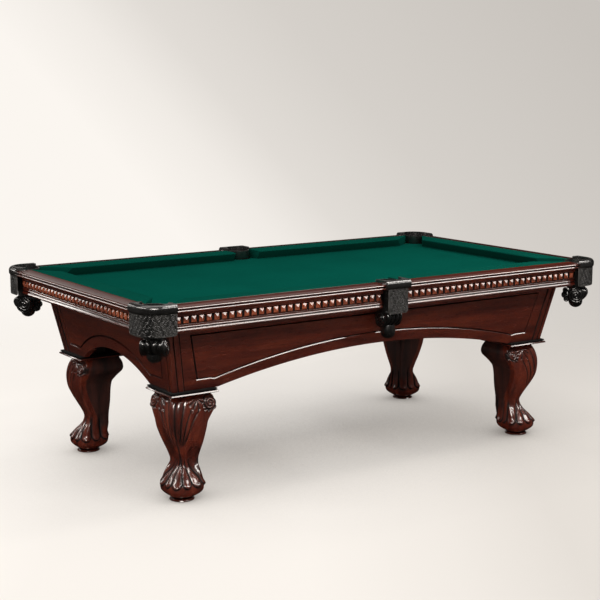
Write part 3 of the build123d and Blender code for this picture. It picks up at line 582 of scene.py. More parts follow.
def apron(name, base, arch_half, arch_rise, panel_side, facet_fall, place, material):
    """Board of half width `base` at its foot; place(u, out, z) puts a point of it in space."""
    def half_at(z):
        """Half width of the board at a height."""
        return base + lean * (z - base_z)

    bm, hollow_layer = hollowed_mesh()
    low, high = base_z, apron_top
    outline = [(-half_at(low), low), (-arch_half, low)]
    outline += arc(outline[-1], (arch_half, low), arch_rise, 48)
    outline += [(half_at(low), low), (half_at(high), high), (-half_at(high), high)]
    rim = [bm.verts.new((u, 0, z)) for u, z in outline]
    panel_low, panel_high = low + 38 * mm, rail_low - 28 * mm
    side_low = half_at(panel_low) - panel_side
    side_high = half_at(panel_high) - panel_side * 0.9
    toe = arch_half + 40 * mm
    panel = [(-side_low, panel_low), (-toe, panel_low), (-toe + toe_out, panel_low - toe_drop)]
    panel += arc(panel[-1], (toe - toe_out, panel_low - toe_drop), arch_rise + 10 * mm, 48)
    panel += [(toe, panel_low), (side_low, panel_low), (side_high, panel_high), (-side_high, panel_high)]
    inner = [bm.verts.new((u, 0, z)) for u, z in panel]
    rim_edges = [bm.edges.new((rim[i - 1], rim[i])) for i in range(len(rim))]
    inner_edges = [bm.edges.new((inner[i - 1], inner[i])) for i in range(len(inner))]
    bmesh.ops.triangle_fill(bm, edges=rim_edges + inner_edges, use_beauty=True)
    field = bm.faces.new(inner)
    field.normal_update()
    for thickness, depth, dark in [(3 * mm, -facet_fall, 0)] + groove_steps:
        bmesh.ops.inset_region(bm, faces=[field], thickness=thickness, depth=depth, use_even_offset=True)
        # painted shade on the groove's dark steps
        for v in field.verts:
            v[hollow_layer] = dark
    back = bmesh.ops.extrude_edge_only(bm, edges=rim_edges)["geom"]
    for v in (v for v in back if isinstance(v, bmesh.types.BMVert)):
        v.co.y += apron_thick
        if abs(v.co.x) > arch_half + mm:
            v.co.x -= apron_thick if v.co.x > 0 else -apron_thick
    bmesh.ops.holes_fill(bm, edges=[e for e in bm.edges if e.is_boundary], sides=0)
    for v in bm.verts:
        v.co = place(v.co.x, -v.co.y, v.co.z)
    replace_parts(new_piece(f"{name}_board", bm, material, smooth=30), name)


def on_long_side(sy):
    """Puts (along, outwards, height) on the leaning face of a long side."""
    return lambda u, out, z: Vector((u, sy * (base_y + lean * (z - base_z) + out), z))


def on_short_side(sx):
    """Puts (along, outwards, height) on the leaning face of a short side."""
    return lambda u, out, z: Vector((sx * (base_x + lean * (z - base_z) + out), u, z))


for side, sy in sides.items():
    apron(f"apron_{side}", base_x, 757 * mm, 92 * mm, 104 * mm, 2.3 * mm, on_long_side(sy), mahogany_x)
for end, sx in ends.items():
    apron(f"apron_{end}", base_y, 300 * mm, 90 * mm, 78 * mm, 4 * mm, on_short_side(sx), mahogany_y)

# Posts: millimetres from the corner, millimetres proud of the boards, and whether it is painted dark, as
# shade in the grooves and where the post meets the boards.
mahogany_z = mahogany("mahogany_grain_z", 2)
post_profile = [(50, -1, 1), (50, 0.4, 1), (45, 0.4, 1), (44, 3, 0), (42.5, 4.2, 0), (24, 4.2, 0), (22.5, 3, 0),
                (22, 0.4, 1), (17.5, 0.4, 1), (17, 3, 0), (15.5, 4.2, 0), (1.5, 4.2, 0), (0, 3, 0)]
for corner, (sx, sy) in corners.items():
    near = [(base_x - u * mm, base_y + p * mm, dark) for u, p, dark in post_profile]
    far = [(base_x + p * mm, base_y - u * mm, dark) for u, p, dark in post_profile]
    bm, hollow_layer = hollowed_mesh()
    plan = []
    for x, y, dark in near + far[::-1] + [(base_x - 1 * mm, base_y - 1 * mm, 1)]:
        plan.append(bm.verts.new((sx * x, sy * y, base_z)))
        plan[-1][hollow_layer] = dark
    rise = rail_low + 8 * mm - base_z
    draw_out(bm, [bm.faces.new(plan)], (sx * lean * rise, sy * lean * rise, rise))
    new_piece(f"corner_post_{corner}", bm, mahogany_z, smooth=20)

# Moulding under the rails: millimetres out from the board and up from the strip's middle.
fillet_outline = [(0, -12), (5, -12), (6, -9), (3.5, -7.5), (7, -4), (7, 0), (0, 0)]
fillet_z = rail_low + 2 * mm


def fillet_strip(name, half, place, material):
    """Strip of the moulding, mitred at both corners."""
    outline = [(out * mm, fillet_z + up * mm) for out, up in fillet_outline]
    bm = bmesh.new()
    rings = [[bm.verts.new(place(way * (half + lean * (z - base_z) + out), out, z)) for out, z in outline]
             for way in (-1, 1)]
    skin(bm, rings)
    new_piece(name, bm, material, smooth=20)


for side, sy in sides.items():
    fillet_strip(f"fillet_{side}", base_x, on_long_side(sy), mahogany_x)
for end, sx in ends.items():
    fillet_strip(f"fillet_{end}", base_y, on_short_side(sx), mahogany_y)


# ---- leg plates ----------------------------------------------------------------------------
# A moulded square plate over each leg: a bright lower edge, a hollow and a thin upper step; the lip under
# the bright edge and all above it are painted dark, as shade.
plate_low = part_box("leg_plate_front_left")[0].z
plate_half = (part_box("leg_plate_front_left")[1].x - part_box("leg_plate_front_left")[0].x) / 2
plate_round = 2 * mm
# millimetres in from the edge, millimetres up, and whether it is painted dark, as shade
plate_steps = [(2, 0, 1), (0.2, 1.6, 1), (0, 2.4, 0), (0.9, 4.2, 0), (2.3, 6.8, 0), (3, 7.2, 1), (9, 7.6, 1),
               (9, 11, 1), (5, 11.4, 1), (5, 15.6, 1), (5.4, 16, 1)]


def plate_centre(corner):
    """Middle of a leg's plate, seen from above."""
    low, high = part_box(f"leg_plate_{corner}")
    return (low.x + high.x) / 2, (low.y + high.y) / 2


for corner in corners:
    px, py = plate_centre(corner)
    bm, hollow_layer = hollowed_mesh()
    rings = []
    for inset, up, dark in plate_steps:
        straight = plate_half - inset * mm - plate_round
        ring = []
        for ax, ay in ((-1, -1), (1, -1), (1, 1), (-1, 1)):
            for turn in range(5):
                angle = atan2(ay, ax) - pi / 4 + turn * pi / 8
                ring.append(bm.verts.new((px + ax * straight + plate_round * cos(angle),
                                          py + ay * straight + plate_round * sin(angle), plate_low + up * mm)))
                ring[-1][hollow_layer] = dark
        rings.append(ring)
    skin(bm, rings)
    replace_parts(new_piece(f"leg_plate_{corner}_moulded", bm, mahogany_x, smooth=30), f"leg_plate_{corner}")


# ---- legs --------------------------------------------------------------------------------
# Cabriole legs on a rounded square plan. The two outer faces are carved: petals that hang from a
# collar at the corner, an acanthus leaf and a scroll beside them, and toes over a smooth ball.
# Painted shade: the grooves of the carving, the line under the claws and the plain inner faces are darkened
# through the vertex value hollow.
mahogany_carved = mahogany("mahogany_carved", 2, "#34100a", "#581e11", "#74301b")
leg_low, leg_high = (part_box("leg_front_left")[i].z for i in (0, 1))
leg_span = leg_high - leg_low
knee_reach = 89 * mm
# reach of the outer and of the inner faces, in knee reaches, down the leg's share of height
knee_curve = [(1.00, 0.70), (0.95, 0.83), (0.90, 0.93), (0.85, 0.99), (0.80, 1.02), (0.74, 1.02), (0.66, 0.97),
              (0.58, 0.84), (0.50, 0.68), (0.42, 0.51), (0.35, 0.40), (0.30, 0.42), (0.25, 0.56), (0.19, 0.80),
              (0.13, 0.96), (0.07, 0.98), (0.03, 0.84), (0.00, 0.62)]
inner_curve = [(1.00, 1.01), (0.93, 1.15), (0.86, 1.15), (0.79, 0.92), (0.72, 0.74), (0.50, 0.66), (0.37, 0.60),
               (0.30, 0.58), (0.19, 0.62), (0.10, 0.66), (0.05, 0.58), (0.00, 0.28)]
corner_cuts, side_cuts, leg_rings = 22, 70, 190
petals = 3.6                    # on each side of the corner
lobe_turn = radians(34)         # between the lobes of a leaf, and between two toes
ankle = 0.42                    # shares of the leg's height
collar = 0.955
scroll_share = 0.90
scroll_radius = 27 * mm
arris = 9.6 * mm                # where the petals start, in from the corner
crease_width = 2.5 * mm         # of the cut down the corner and of the one round the scroll
carved_depth = 30 * mm          # how far the carving runs round from the outer faces


def smooth_curve(points, share):
    """Catmull-Rom value through (share, value) points that run downwards."""
    for k in range(len(points) - 1):
        (a, va), (b, vb) = points[k], points[k + 1]
        if a >= share >= b:
            before = points[k - 1] if k else points[k]
            after = points[k + 2] if k + 2 < len(points) else points[k + 1]
            t = (a - share) / (a - b)
            ma = (vb - before[1]) / (before[0] - b) * (a - b) if before[0] > b else 0
            mb = (after[1] - va) / (a - after[0]) * (a - b) if a > after[0] else 0
            return ((2 * t**3 - 3 * t**2 + 1) * va + (t**3 - 2 * t**2 + t) * ma
                    + (3 * t**2 - 2 * t**3) * vb + (t**3 - t**2) * mb)
    return points[-1][1]


def rib(phase, sharp):
    """Rounded ridge: 1 at whole phases, 0 in the groove halfway between them."""
    return abs(cos(pi * phase)) ** sharp


def bell(distance, width):
    """Smooth hump, 1 in its middle, that fades over a width."""
    return exp(-((distance / width) ** 2))


def fan_relief(u, share, width):
    """Petals that meet at a point below the knee: height and painted shade of the grooves at a distance u from
    the corner.
    """
    climb = min(1.0, max(0.0, (share - 0.44) / 0.46))
    spread = (0.1 + 0.9 * (1 - (1 - climb) ** 1.9)) * width * 0.66
    if spread < 1 * mm or u > spread:
        return 0.0, 0.0
    height = rib(petals * u / spread + 0.5, 0.5)
    groove = bell(height ** 2 * spread / (petals * pi), 2.4 * mm)
    end = collar + 0.01 - 0.03 * (1 - height)
    fade = step(0.0, 0.08, 1 - u / spread) * step(0.47, 0.62, share) * (1 - step(end - 0.03, end, share))
    return 8 * mm * (height - 0.75) * fade, groove * fade


def leaf_relief(across, up):
    """Acanthus leaf fanned below the collar, with drops between its tips: mask, height, painted shade of the
    veins, drops.
    """
    r, turn = hypot(across, up), atan2(across, -up)
    lobe = rib(turn / lobe_turn, 0.7)
    length = (40 + 9 * lobe) * mm
    fanned = 1 - step(radians(75), radians(95), abs(turn))
    mask = step(0, 6 * mm, length - r) * fanned * step(1 * mm, 9 * mm, r)
    drop = sum(bell(hypot(across - x * mm, up + y * mm), 4.5 * mm) for x, y in ((-14, 52), (14, 52), (36, 40)))
    swell = 0.6 + 0.4 * sin(pi * min(1.0, r / length))
    return mask, 7.5 * mm * lobe * swell - 1 * mm, (1 - lobe) ** 1.2, 6 * mm * drop


def scroll_relief(across, up, radius):
    """Spiral of one and a half turns with lobes round its lower half: mask, height and painted shade of the
    grooves.
    """
    r, turn = hypot(across, up), atan2(up, across)
    if r > radius * 1.5:
        return 0.0, 0.0, 0.0
    if r > radius:
        lobes = rib(turn / lobe_turn, 0.5)
        mask = step(0, 2 * mm, radius * (1.12 + 0.3 * lobes) - r) * step(-0.2, 0.1, -up / radius)
        return mask, 5 * mm * lobes, 1 - lobes
    height = max(rib(r / (radius * 0.40) - turn / (2 * pi), 0.6), bell(r, radius * 0.2))
    return step(0, 0.08, 1 - r / radius), 7 * mm * height - 1.5 * mm, (1 - height) ** 0.8


def toe_relief(angle, share):
    """Toes round the foot, each ending in a claw over the smooth ball: height and painted shade of the grooves
    and under the claws.
    """
    toes = rib((angle - pi / 4) / lobe_turn, 0.6)
    edge = 0.16 - 0.05 * toes
    mask = step(0.40, 0.30, share) * step(edge - 0.010, edge + 0.010, share)
    claw = bell(share - edge - 0.015, 0.025) * toes ** 2
    height = 9 * mm * (toes - 0.5) + 4 * mm * claw
    # painted shade under the claws
    shade_under_claw = 0.9 * bell(share - edge, 0.010) * step(0.3, 0.2, share)
    return height * mask, bell(toes ** 1.67, 0.34) * mask + shade_under_claw


def leg_ring(share):
    """Plan points of the leg at a share of its height, each with its outward direction."""
    outer = smooth_curve(knee_curve, share) * knee_reach
    inner = smooth_curve(inner_curve, share) * knee_reach
    width = outer + inner
    foot = step(0.30, 0.15, share)
    corner_round = min((34 + 14 * foot) * mm, 0.42 * width)
    edge_round = min(0.46 * width, (9 + 30 * foot) * mm)
    back_round = min(0.46 * width, (7 + 34 * foot) * mm)
    corners_here = [(-inner, -inner, back_round, pi), (outer, -inner, edge_round, -pi / 2),
                    (outer, outer, corner_round, 0), (-inner, outer, edge_round, pi / 2)]
    centres = [(x + (r if x < 0 else -r), y + (r if y < 0 else -r), r, start)
               for x, y, r, start in corners_here]
    points = []
    for k, (cx, cy, r, start) in enumerate(centres):
        for i in range(corner_cuts):
            a = start + (pi / 2) * i / corner_cuts
            points.append((cx + r * cos(a), cy + r * sin(a), cos(a), sin(a)))
        a = start + pi / 2
        next_x, next_y, next_r, _ = centres[(k + 1) % 4]
        first = (cx + r * cos(a), cy + r * sin(a))
        last = (next_x + next_r * cos(a), next_y + next_r * sin(a))
        for i in range(side_cuts):
            t = i / side_cuts
            t = {1: 1 - (1 - t) ** 1.2, 2: t ** 1.2}.get(k, t)      # closer together by the carved corner
            points.append((first[0] + (last[0] - first[0]) * t, first[1] + (last[1] - first[1]) * t,
                           cos(a), sin(a)))
    return points, outer, inner


def carve(x, y, share, outer, inner):
    """Height of the carving and its painted shade, in the hollows and on the plain inner faces, at a plan point
    of the leg.
    """
    width = outer + inner
    ball = 0.17 * knee_reach
    toe, toe_hollow = toe_relief(atan2(y - ball, x - ball), share)
    u = max(outer - x, outer - y) - arris
    depth_in = min(outer - x, outer - y)
    if depth_in > carved_depth:
        # painted shade on the plain inner faces
        return toe, max(toe_hollow, 0.45 * step(0.2, 0.3, share))
    dark_band = bell(u, crease_width) * step(0.56, 0.47, share) * step(0.27, 0.32, share)
    if share < ankle:
        return toe - 2 * mm * dark_band, min(1.0, toe_hollow + 0.8 * dark_band)
    relief, hollow = fan_relief(u, share, width)
    leaf, vein, vein_hollow, drop = leaf_relief(u - 0.47 * width, (share - collar) * leg_span)
    relief = relief * (1 - leaf) + vein * leaf + drop
    hollow = hollow * (1 - leaf) + vein_hollow * leaf
    eye = width - scroll_radius - 10 * mm
    up = (share - scroll_share) * leg_span
    mask, curl, curl_hollow = scroll_relief(eye - u, up, scroll_radius)
    relief = relief * (1 - mask) + curl * mask - 3 * mm * step(collar, 0.975, share)
    hollow = hollow * (1 - mask) + curl_hollow * mask
    ring = bell(hypot(u - eye, up) - scroll_radius, crease_width) * step(0.5, 0.8, share)
    relief -= 3 * mm * ring + 2 * mm * dark_band
    hollow = min(1.0, hollow + 0.6 * ring + 0.8 * dark_band)
    inside = step(0, 12 * mm, carved_depth - depth_in)
    return relief * inside + toe, min(1.0, hollow * inside + toe_hollow)


for corner, (sx, sy) in corners.items():
    px, py = plate_centre(corner)
    bm, hollow_layer = hollowed_mesh()
    rings = []
    for k in range(leg_rings + 1):
        share = k / leg_rings
        plan, outer, inner = leg_ring(share)
        ring = []
        for x, y, dx, dy in plan:
            relief, hollow = carve(x, y, share, outer, inner)
            ring.append(bm.verts.new((px + sx * (x + dx * relief), py + sy * (y + dy * relief),
                                      leg_low + share * leg_span)))
            ring[-1][hollow_layer] = hollow
        rings.append(ring)
    skin(bm, rings)
    leg = new_piece(f"leg_{corner}_carved", bm, mahogany_carved, smooth=50)
    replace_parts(leg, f"leg_{corner}")


# ---- feet --------------------------------------------------------------------------------
# Turned discs with a thin rim, that screw in and out under the balls. Radius and height in mm.
foot_outline = [(0, 0), (44, 0), (49, 1.2), (50, 3.2), (49, 5), (46, 6), (45, 7.4), (43.5, 8.4), (40, 9.4),
                (34, 12), (0, 12)]


def spun(bm, outline, axis, steps, closed=False):
    """Turns an outline of (along the axis, radius) points once about an axis through the origin."""
    along = Vector(axis)
    first = Vector((0, 1, 0)) if axis[0] else Vector((1, 0, 0))
    verts = [bm.verts.new(along * a + first * r) for a, r in outline]
    pairs = list(zip(verts, verts[1:])) + ([(verts[-1], verts[0])] if closed else [])
    edges = [bm.edges.new(pair) for pair in pairs]
    bmesh.ops.spin(bm, geom=verts + edges, axis=along, cent=(0, 0, 0), angle=2 * pi, steps=steps,
                   use_merge=True)


for corner in corners:
    low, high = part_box(f"foot_{corner}")
    bm = bmesh.new()
    spun(bm, [(z * mm, r * mm) for r, z in foot_outline], (0, 0, 1), 48)
    bmesh.ops.remove_doubles(bm, verts=bm.verts, dist=1e-6)
    bmesh.ops.translate(bm, vec=((low.x + high.x) / 2, (low.y + high.y) / 2, 0), verts=bm.verts)
    disc = new_piece(f"foot_{corner}_disc", bm, mahogany_x, body=f"foot_{corner}", smooth=30)
    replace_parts(disc, f"foot_{corner}")


# ---- pocket leather ------------------------------------------------------------------------
# Black hide over iron: a smooth padded rim round each hole, and a shield tooled with scrolls. The tooled
# hide's grey is a painted sheen on black leather; it is painted black as shade in its hollows, and as a dark
# reflection down the middle of a corner shield.
def leather(name, dark, light, rough, coat, coat_rough):
    """Dyed hide with pebbles of 1.1 mm, in two tones, under a coat of wax that gives its highlights."""
    material, tree = new_material(name)
    coords = add_node(tree, "ShaderNodeTexCoord").outputs["Object"]
    pebble = add_node(tree, "ShaderNodeTexVoronoi", {"Vector": coords}, Scale=1 / (1.111 * mm))
    patches = add_node(tree, "ShaderNodeTexNoise", {"Vector": coords}, Scale=1 / (22.22 * mm),
                       Detail=3.0).outputs["Fac"]
    tone = ramp(tree, patches, (0.35, dark), (0.7, light))
    hollowness = add_node(tree, "ShaderNodeAttribute", attribute_name="hollow").outputs["Fac"]
    # painted shade: the vertex value hollow darkens the hide
    shade = ramp(tree, hollowness, (0.0, "#ffffff"), (0.25, "#8c8c8c"), (0.7, "#101010"))
    colour = add_node(tree, "ShaderNodeMix", {0: 1.0, 6: tone, 7: shade}, **multiply)
    shine = add_node(tree, "ShaderNodeMapRange", {"Value": patches}, To_Min=rough - 0.05, To_Max=rough + 0.08)
    bump = add_node(tree, "ShaderNodeBump", {"Height": pebble.outputs["Distance"]}, Strength=0.15,
                    Distance=0.3 * mm)
    add_surface(tree, {"Base Color": colour.outputs[2], "Roughness": shine.outputs[0],
                       "Normal": bump.outputs[0]},
                Coat_Weight=coat, Coat_IOR=2.0, Coat_Roughness=coat_rough)
    return material


smooth_leather = leather("smooth_black_leather", "#040404", "#0c0c0b", 0.4, 1.0, 0.2)
# the tooled hide's grey is a painted sheen on black leather
tooled_leather_painted_sheen = leather("tooled_black_leather", "#343332", "#525150", 0.45, 0.4, 0.3)
rim_low, rim_high = rail_top - 27 * mm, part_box("pocket_shield_front_left")[1].z + 5 * mm
lap = 5 * mm
hole = 54 * mm
corner_round = 80 * mm
rail_gap = half_length - rail_outer_end
hair = 0.1 * mm                 # closeness at which two places count as one
tool_pitch = 19 * mm
row_pitch = tool_pitch * 0.87
curl_pitch = 5.6 * mm
tool_depth = 2.4 * mm
shield_thick = 5 * mm
shield_cell = 1.2 * mm
shield_round = 13 * mm


def tooling(along, up):
    """Height, 0 to 1, of hand-tooled scrolls in staggered rows, with pebbled ground between."""
    row = round(up / row_pitch)
    column = round(along / tool_pitch - 0.5 * (row % 2))
    dx = along - (column + 0.5 * (row % 2)) * tool_pitch + 2.5 * mm * sin(5.1 * row + 2.3 * column)
    dy = up - row * row_pitch + 2.5 * mm * cos(3.7 * row - 4.4 * column)
    r = hypot(dx, dy)
    hand = 1 if (3 * row + column) % 4 < 2 else -1
    curl = rib(r / curl_pitch - hand * atan2(dy, dx) / (2 * pi) + 0.3 * (column % 3), 0.8)
    wavy = along + 2 * mm * sin(up / (2.5 * mm))
    ground = 0.5 + 0.5 * cos(wavy * 2 * pi / (7.3 * mm)) * cos(up * 2 * pi / (6.1 * mm))
    edge = step(0.46 * tool_pitch, 0.56 * tool_pitch, r)
    return curl * (1 - edge) + 0.7 * ground * edge


def rim_piece(node, outline, is_outer, place):
    """Padded leather rim: the plan outline raised, with a full round on its outer top edge."""
    bm = bmesh.new()
    base = bm.faces.new([bm.verts.new((x, y, rim_low)) for x, y in outline])
    draw_out(bm, [base], (0, 0, rim_high - rim_low))
    bmesh.ops.recalc_face_normals(bm, faces=bm.faces)
    for z, outer, round_off in ((rim_high, True, 17 * mm), (rim_low, True, 12 * mm), (rim_high, False, 7 * mm)):
        level = [e for e in bm.edges if all(abs(v.co.z - z) < hair for v in e.verts)]
        bmesh.ops.bevel(bm, geom=[e for e in level if outer == all(is_outer(v.co) for v in e.verts)],
                        offset=round_off, segments=10, affect="EDGES", profile=0.5, material=-1,
                        clamp_overlap=True)
    for v in bm.verts:
        v.co = place(v.co.x, v.co.y, v.co.z)
    name = node.replace("shield", "rim")
    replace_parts(new_piece(name, bm, smooth_leather, smooth=60), node)


def shield_piece(node, path, low, place, dark_band=0.0):
    """Tooled shield hung from the rim: path gives the point and outward normal along its length."""
    bm, hollow_layer = hollowed_mesh()
    high = rim_low + 3 * mm
    length = path(None)
    across_count, up_count = int(length / shield_cell), int((high - low) / shield_cell)
    front, back = [], []
    for i in range(across_count + 1):
        along = length * i / across_count
        x, y, nx, ny = path(along)
        from_end = min(along, length - along)
        into_round = max(0.0, shield_round - from_end)
        foot = low + shield_round - sqrt(shield_round**2 - into_round**2)
        # painted dark reflection down the middle of a corner shield, dark_band wide
        middle = bell(along - length / 2, dark_band) if dark_band else 0.0
        line = []
        for k in range(up_count + 1):
            z = foot + (high - foot) * k / up_count
            border = min(from_end, z - foot)
            field = step(2.5 * mm, 4.5 * mm, border)
            height = field * tooling(along - length / 2, z - low)
            plain = (1 - field) * 0.75 * step(0, 1.5 * mm, border)
            out = tool_depth * height + 2 * mm * plain - 2 * mm
            line.append(bm.verts.new(place(x + nx * out, y + ny * out, z)))
            # painted shade in the tooling's hollows and the painted dark middle
            line[-1][hollow_layer] = max(field * (1 - height) ** 1.2, 0.9 * middle)
        front.append(line)
        back.append([bm.verts.new(place(x - nx * shield_thick, y - ny * shield_thick, v.co.z))
                     for v in (line[0], line[-1])])
    for near, far in zip(front, front[1:]):
        for k in range(up_count):
            bm.faces.new((near[k], far[k], far[k + 1], near[k + 1]))
    for i in range(across_count):
        bm.faces.new((back[i][0], back[i][1], back[i + 1][1], back[i + 1][0]))
        bm.faces.new((front[i][0], back[i][0], back[i + 1][0], front[i + 1][0]))
        bm.faces.new((front[i][-1], front[i + 1][-1], back[i + 1][1], back[i][1]))
    for i in (0, -1):
        bm.faces.new(front[i] + [back[i][1], back[i][0]])
    name = node.replace("shield", "tooled_shield")
    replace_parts(new_piece(name, bm, tooled_leather_painted_sheen, smooth=60), node)


def corner_path(along):
    """Outer face of a corner shield, from rail to rail; lengths from the outer corner, inwards."""
    straight = rail_gap + 1 * mm - corner_round
    bend = corner_round * pi / 2
    if along is None:
        return 2 * straight + bend
    if along < straight:
        return rail_gap + 1 * mm - along, 0.0, 0.0, -1.0
    if along > straight + bend:
        return 0.0, corner_round + along - straight - bend, -1.0, 0.0
    a = (along - straight) / corner_round
    return corner_round * (1 - sin(a)), corner_round * (1 - cos(a)), -sin(a), -cos(a)


def side_path(along):
    """Outer face of a side shield."""
    half = 50 * mm
    return 2 * half if along is None else (half - along, 0.0, 0.0, -1.0)


# Plan outlines of the rims: x along the rail and y inwards from the outer edge.
corner_in, side_in = 74 * mm, 70 * mm
side_half = rail_inner_end - 0.5 * mm
corner_rim = [(rail_gap, -lap), (rail_gap, 40 * mm), (rail_gap - 3 * mm, 47 * mm)]
for k in range(33):
    angle = radians(-23 - k * 224 / 32)
    corner_rim.append((corner_in + hole * cos(angle), corner_in + hole * sin(angle)))
corner_rim += [(47 * mm, rail_gap - 3 * mm), (40 * mm, rail_gap), (-lap, rail_gap)]
for k in range(13):
    angle = pi + pi / 2 * k / 12
    corner_rim.append((corner_round + (corner_round + lap) * cos(angle),
                       corner_round + (corner_round + lap) * sin(angle)))
side_rim = [(side_half, -lap), (side_half, side_in + 3 * mm), (side_half - 3 * mm, side_in + 6 * mm)]
for k in range(33):
    angle = radians(5 - k * 190 / 32)
    side_rim.append((hole * cos(angle), side_in + hole * sin(angle)))
side_rim += [(3 * mm - side_half, side_in + 6 * mm), (-side_half, side_in + 3 * mm), (-side_half, -lap)]


def on_side_edge(v):
    """True on the straight outer side of a side rim."""
    return v.y < hair - lap


def on_corner_edge(v):
    """True on the two straight outer sides of a corner rim and on the round between them."""
    r = corner_round
    on_round = max(v.x, v.y) < r and abs(hypot(v.x - r, v.y - r) - r - lap) < hair
    return min(v.x, v.y) < hair - lap or on_round


def at_corner(sx, sy):
    """Puts (inwards, inwards, height) in place at a corner."""
    return lambda x, y, z: Vector((sx * (half_length - x), sy * (half_width - y), z))


def at_side(sy):
    """Puts (along, inwards, height) in place at the middle of a long side."""
    return lambda x, y, z: Vector((x, sy * (half_width - y), z))


for corner, (sx, sy) in corners.items():
    node = f"pocket_shield_{corner}"
    rim_piece(node, corner_rim, on_corner_edge, at_corner(sx, sy))
    shield_piece(node, corner_path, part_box(node)[0].z + 5 * mm, at_corner(sx, sy), 20 * mm)
for side, sy in sides.items():
    node = f"pocket_shield_{side}"
    rim_piece(node, side_rim, on_side_edge, at_side(sy))
    shield_piece(node, side_path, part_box(node)[0].z, at_side(sy))


# ---- drop bags ---------------------------------------------------------------------------
# Moulded leather: a throat, a rolled drum of four straps with scroll ends, and a small cup.
drum_z = rail_top - 155 * mm
drum_r = 38 * mm
straps, strap_cuts, drum_cuts = 4, 10, 56
scroll_rings, scroll_cuts = 16, 40
cup_r = 31 * mm
# each curl behind a corner bag: outwards, up from the drum's axis, and radius, in mm
curls = [(-47, 17, 12), (-50, -4, 14), (-41, -22, 13)]
curl_half = 12 * mm


def add_straps(bm, hollow_layer, half):
    """Bands round the drum that bulge outwards below the shield and tuck under towards the cup."""
    rings = []
    for k in range(straps * strap_cuts + 1):
        t = -half + 2 * half * k / (straps * strap_cuts)
        band = abs(sin(pi * straps * (t + half) / (2 * half))) ** 0.5
        ring = []
        for i in range(drum_cuts):
            phi = 2 * pi * i / drum_cuts
            bulge = bell((phi - radians(20) + pi) % (2 * pi) - pi, radians(38))
            seam = 1 - 0.35 * bell(t, 4 * mm) * bulge
            swell = (24 * mm - 5 * mm * (t / half) ** 2) * bulge * seam
            rho = drum_r - 5 * mm + swell + (5 + 3 * bulge) * mm * (band - 1)
            ring.append(bm.verts.new((t, rho * cos(phi), drum_z + rho * sin(phi))))
            # painted shade in the gaps between the straps
            ring[-1][hollow_layer] = (1 - band) * 0.9
        rings.append(ring)
    skin(bm, rings)


def add_scroll_end(bm, hollow_layer, half, way):
    """Disc on one end of the drum, rolled up in a spiral."""
    disc = []
    for i in range(scroll_rings + 1):
        r = (drum_r - 2 * mm) * i / scroll_rings
        ring = []
        for k in range(scroll_cuts if i else 1):
            a = 2 * pi * k / scroll_cuts
            swirl = max(rib(r / (12 * mm) - way * a / (2 * pi) + 0.1, 0.7), bell(r, 6 * mm))
            lift = 5 * mm * swirl - 6 * mm * (i / scroll_rings) ** 5
            ring.append(bm.verts.new((way * (half + 2 * mm + lift), r * cos(a), drum_z + r * sin(a))))
            # painted shade in the grooves of the spiral
            ring[-1][hollow_layer] = 1 - swirl
        disc.append(ring)
    disc.append([bm.verts.new((way * (half - 4 * mm), v.co.y, v.co.z)) for v in disc[-1]])
    skin(bm, disc[1:], capped=(-1,))
    for k in range(scroll_cuts):
        bm.faces.new((disc[0][0], disc[1][k], disc[1][(k + 1) % scroll_cuts]))


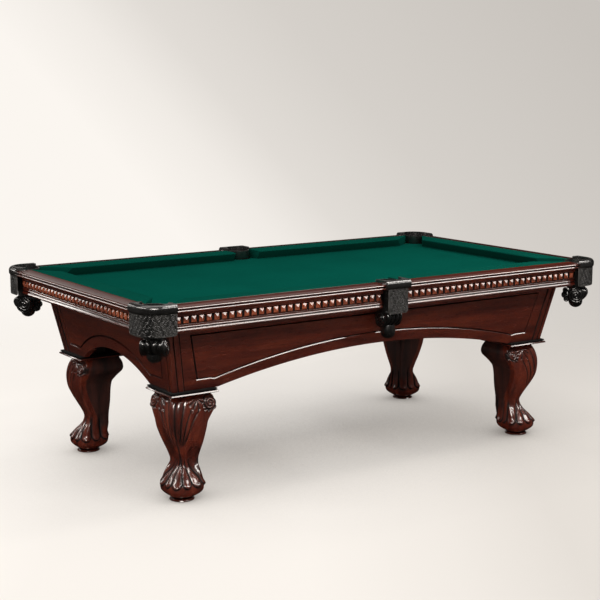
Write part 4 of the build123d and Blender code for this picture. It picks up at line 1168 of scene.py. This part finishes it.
def drop_bag(name, x, y, ox, oy, half, cup_drop, rolls):
    """Bag made with x along the drum, y outwards and z up, then put in its place and turned."""
    bm, hollow_layer = hollowed_mesh()
    add_straps(bm, hollow_layer, half)
    for way in (-1, 1):
        add_scroll_end(bm, hollow_layer, half, way)
    lip = rim_high - 11 * mm
    throat = [(lip, hole - 4 * mm), (lip, hole), (rim_low - 8 * mm, hole), (bed_top - 15 * mm, 42 * mm),
              (drum_z + 30 * mm, 41 * mm), (drum_z + 30 * mm, 37 * mm), (bed_top - 16 * mm, 38 * mm),
              (rim_low - 9 * mm, hole - 4 * mm)]
    spun(bm, throat, (0, 0, 1), 48, closed=True)
    foot, top = rail_top - cup_drop, drum_z - 26 * mm
    cup = [(foot, 0.0)]
    for k in range(1, 9):
        a = pi / 2 * k / 8
        cup.append((foot + cup_r * 0.9 * (1 - cos(a)), cup_r * sin(a)))
    cup += [(foot + cup_r + 6 * mm, cup_r), (top - 3 * mm, cup_r - 3 * mm), (top, cup_r - 4 * mm), (top, 0.0)]
    spun(bm, cup, (0, 0, 1), 40)
    for out, up, radius in rolls:
        side = [(2, 0), (1, 0.45 * radius), (-1, 0.5 * radius), (0, 0.8 * radius), (-2, radius)]
        roll = [(-curl_half - a * mm, r * mm) for a, r in side]
        roll += [(curl_half + a * mm, r * mm) for a, r in side[::-1]]
        before = set(bm.verts)
        spun(bm, roll, (1, 0, 0), 20)
        made = [v for v in bm.verts if v not in before]
        bmesh.ops.translate(bm, vec=(0, out * mm, drum_z + up * mm), verts=made)
    bmesh.ops.remove_doubles(bm, verts=bm.verts, dist=1e-5)
    turned = Matrix(((oy, ox, 0, x), (-ox, oy, 0, y), (0, 0, 1, 0), (0, 0, 0, 1)))
    bmesh.ops.transform(bm, matrix=turned, verts=bm.verts)
    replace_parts(new_piece(f"{name}_leather", bm, smooth_leather, smooth=50), name)


for corner, (sx, sy) in corners.items():
    drop_bag(f"pocket_bag_{corner}", sx * (half_length - corner_in), sy * (half_width - corner_in),
             sx / sqrt(2), sy / sqrt(2), 46 * mm, 215 * mm, curls)
for side, sy in sides.items():
    drop_bag(f"pocket_bag_{side}", 0, sy * (half_width - side_in), 0, sy, 41 * mm, 240 * mm, [])


# ---- hidden structure --------------------------------------------------------------------
# What the cabinet hides keeps its solid: honed slate, dark-stained poplar and zinc-plated steel.
def plain(name, dark, light, spot, rough, metal=0.0, stretch=1.0):
    """Spots of two tones, `spot` across; stretch draws them out along X, as grain."""
    material, tree = new_material(name)
    coords = add_node(tree, "ShaderNodeTexCoord").outputs["Object"]
    placed = add_node(tree, "ShaderNodeMapping",
                      {"Vector": coords, "Scale": (1 / (spot * stretch), 1 / spot, 1 / spot)})
    noise = add_node(tree, "ShaderNodeTexNoise", {"Vector": placed.outputs[0]}, Scale=1.0, Detail=5.0,
                     Roughness=0.6).outputs["Fac"]
    bump = add_node(tree, "ShaderNodeBump", {"Height": noise}, Strength=0.2, Distance=0.3 * mm)
    add_surface(tree, {"Base Color": ramp(tree, noise, (0.3, dark), (0.7, light)), "Normal": bump.outputs[0]},
                Roughness=rough, Metallic=metal)
    return material


slate = plain("honed_slate", "#35383c", "#4c5055", 25 * mm, 0.6)
poplar = plain("stained_poplar", "#1b130d", "#2b2017", 8.333 * mm, 0.7, stretch=14.0)
zinc = plain("zinc_plate", "#8e9092", "#c3c6c8", 1.667 * mm, 0.35, metal=1.0)
hidden = {slate: ["slate_left", "slate_middle", "slate_right"],
          poplar: ["corner_blocks", "cross_beam_left", "cross_beam_right"],
          zinc: ["leg_bolts", "rail_bolts", "slate_screws"] + [f"foot_stem_{corner}" for corner in corners]}
for material, names in hidden.items():
    for name in names:
        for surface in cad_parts[name].material_slots:
            surface.material = material
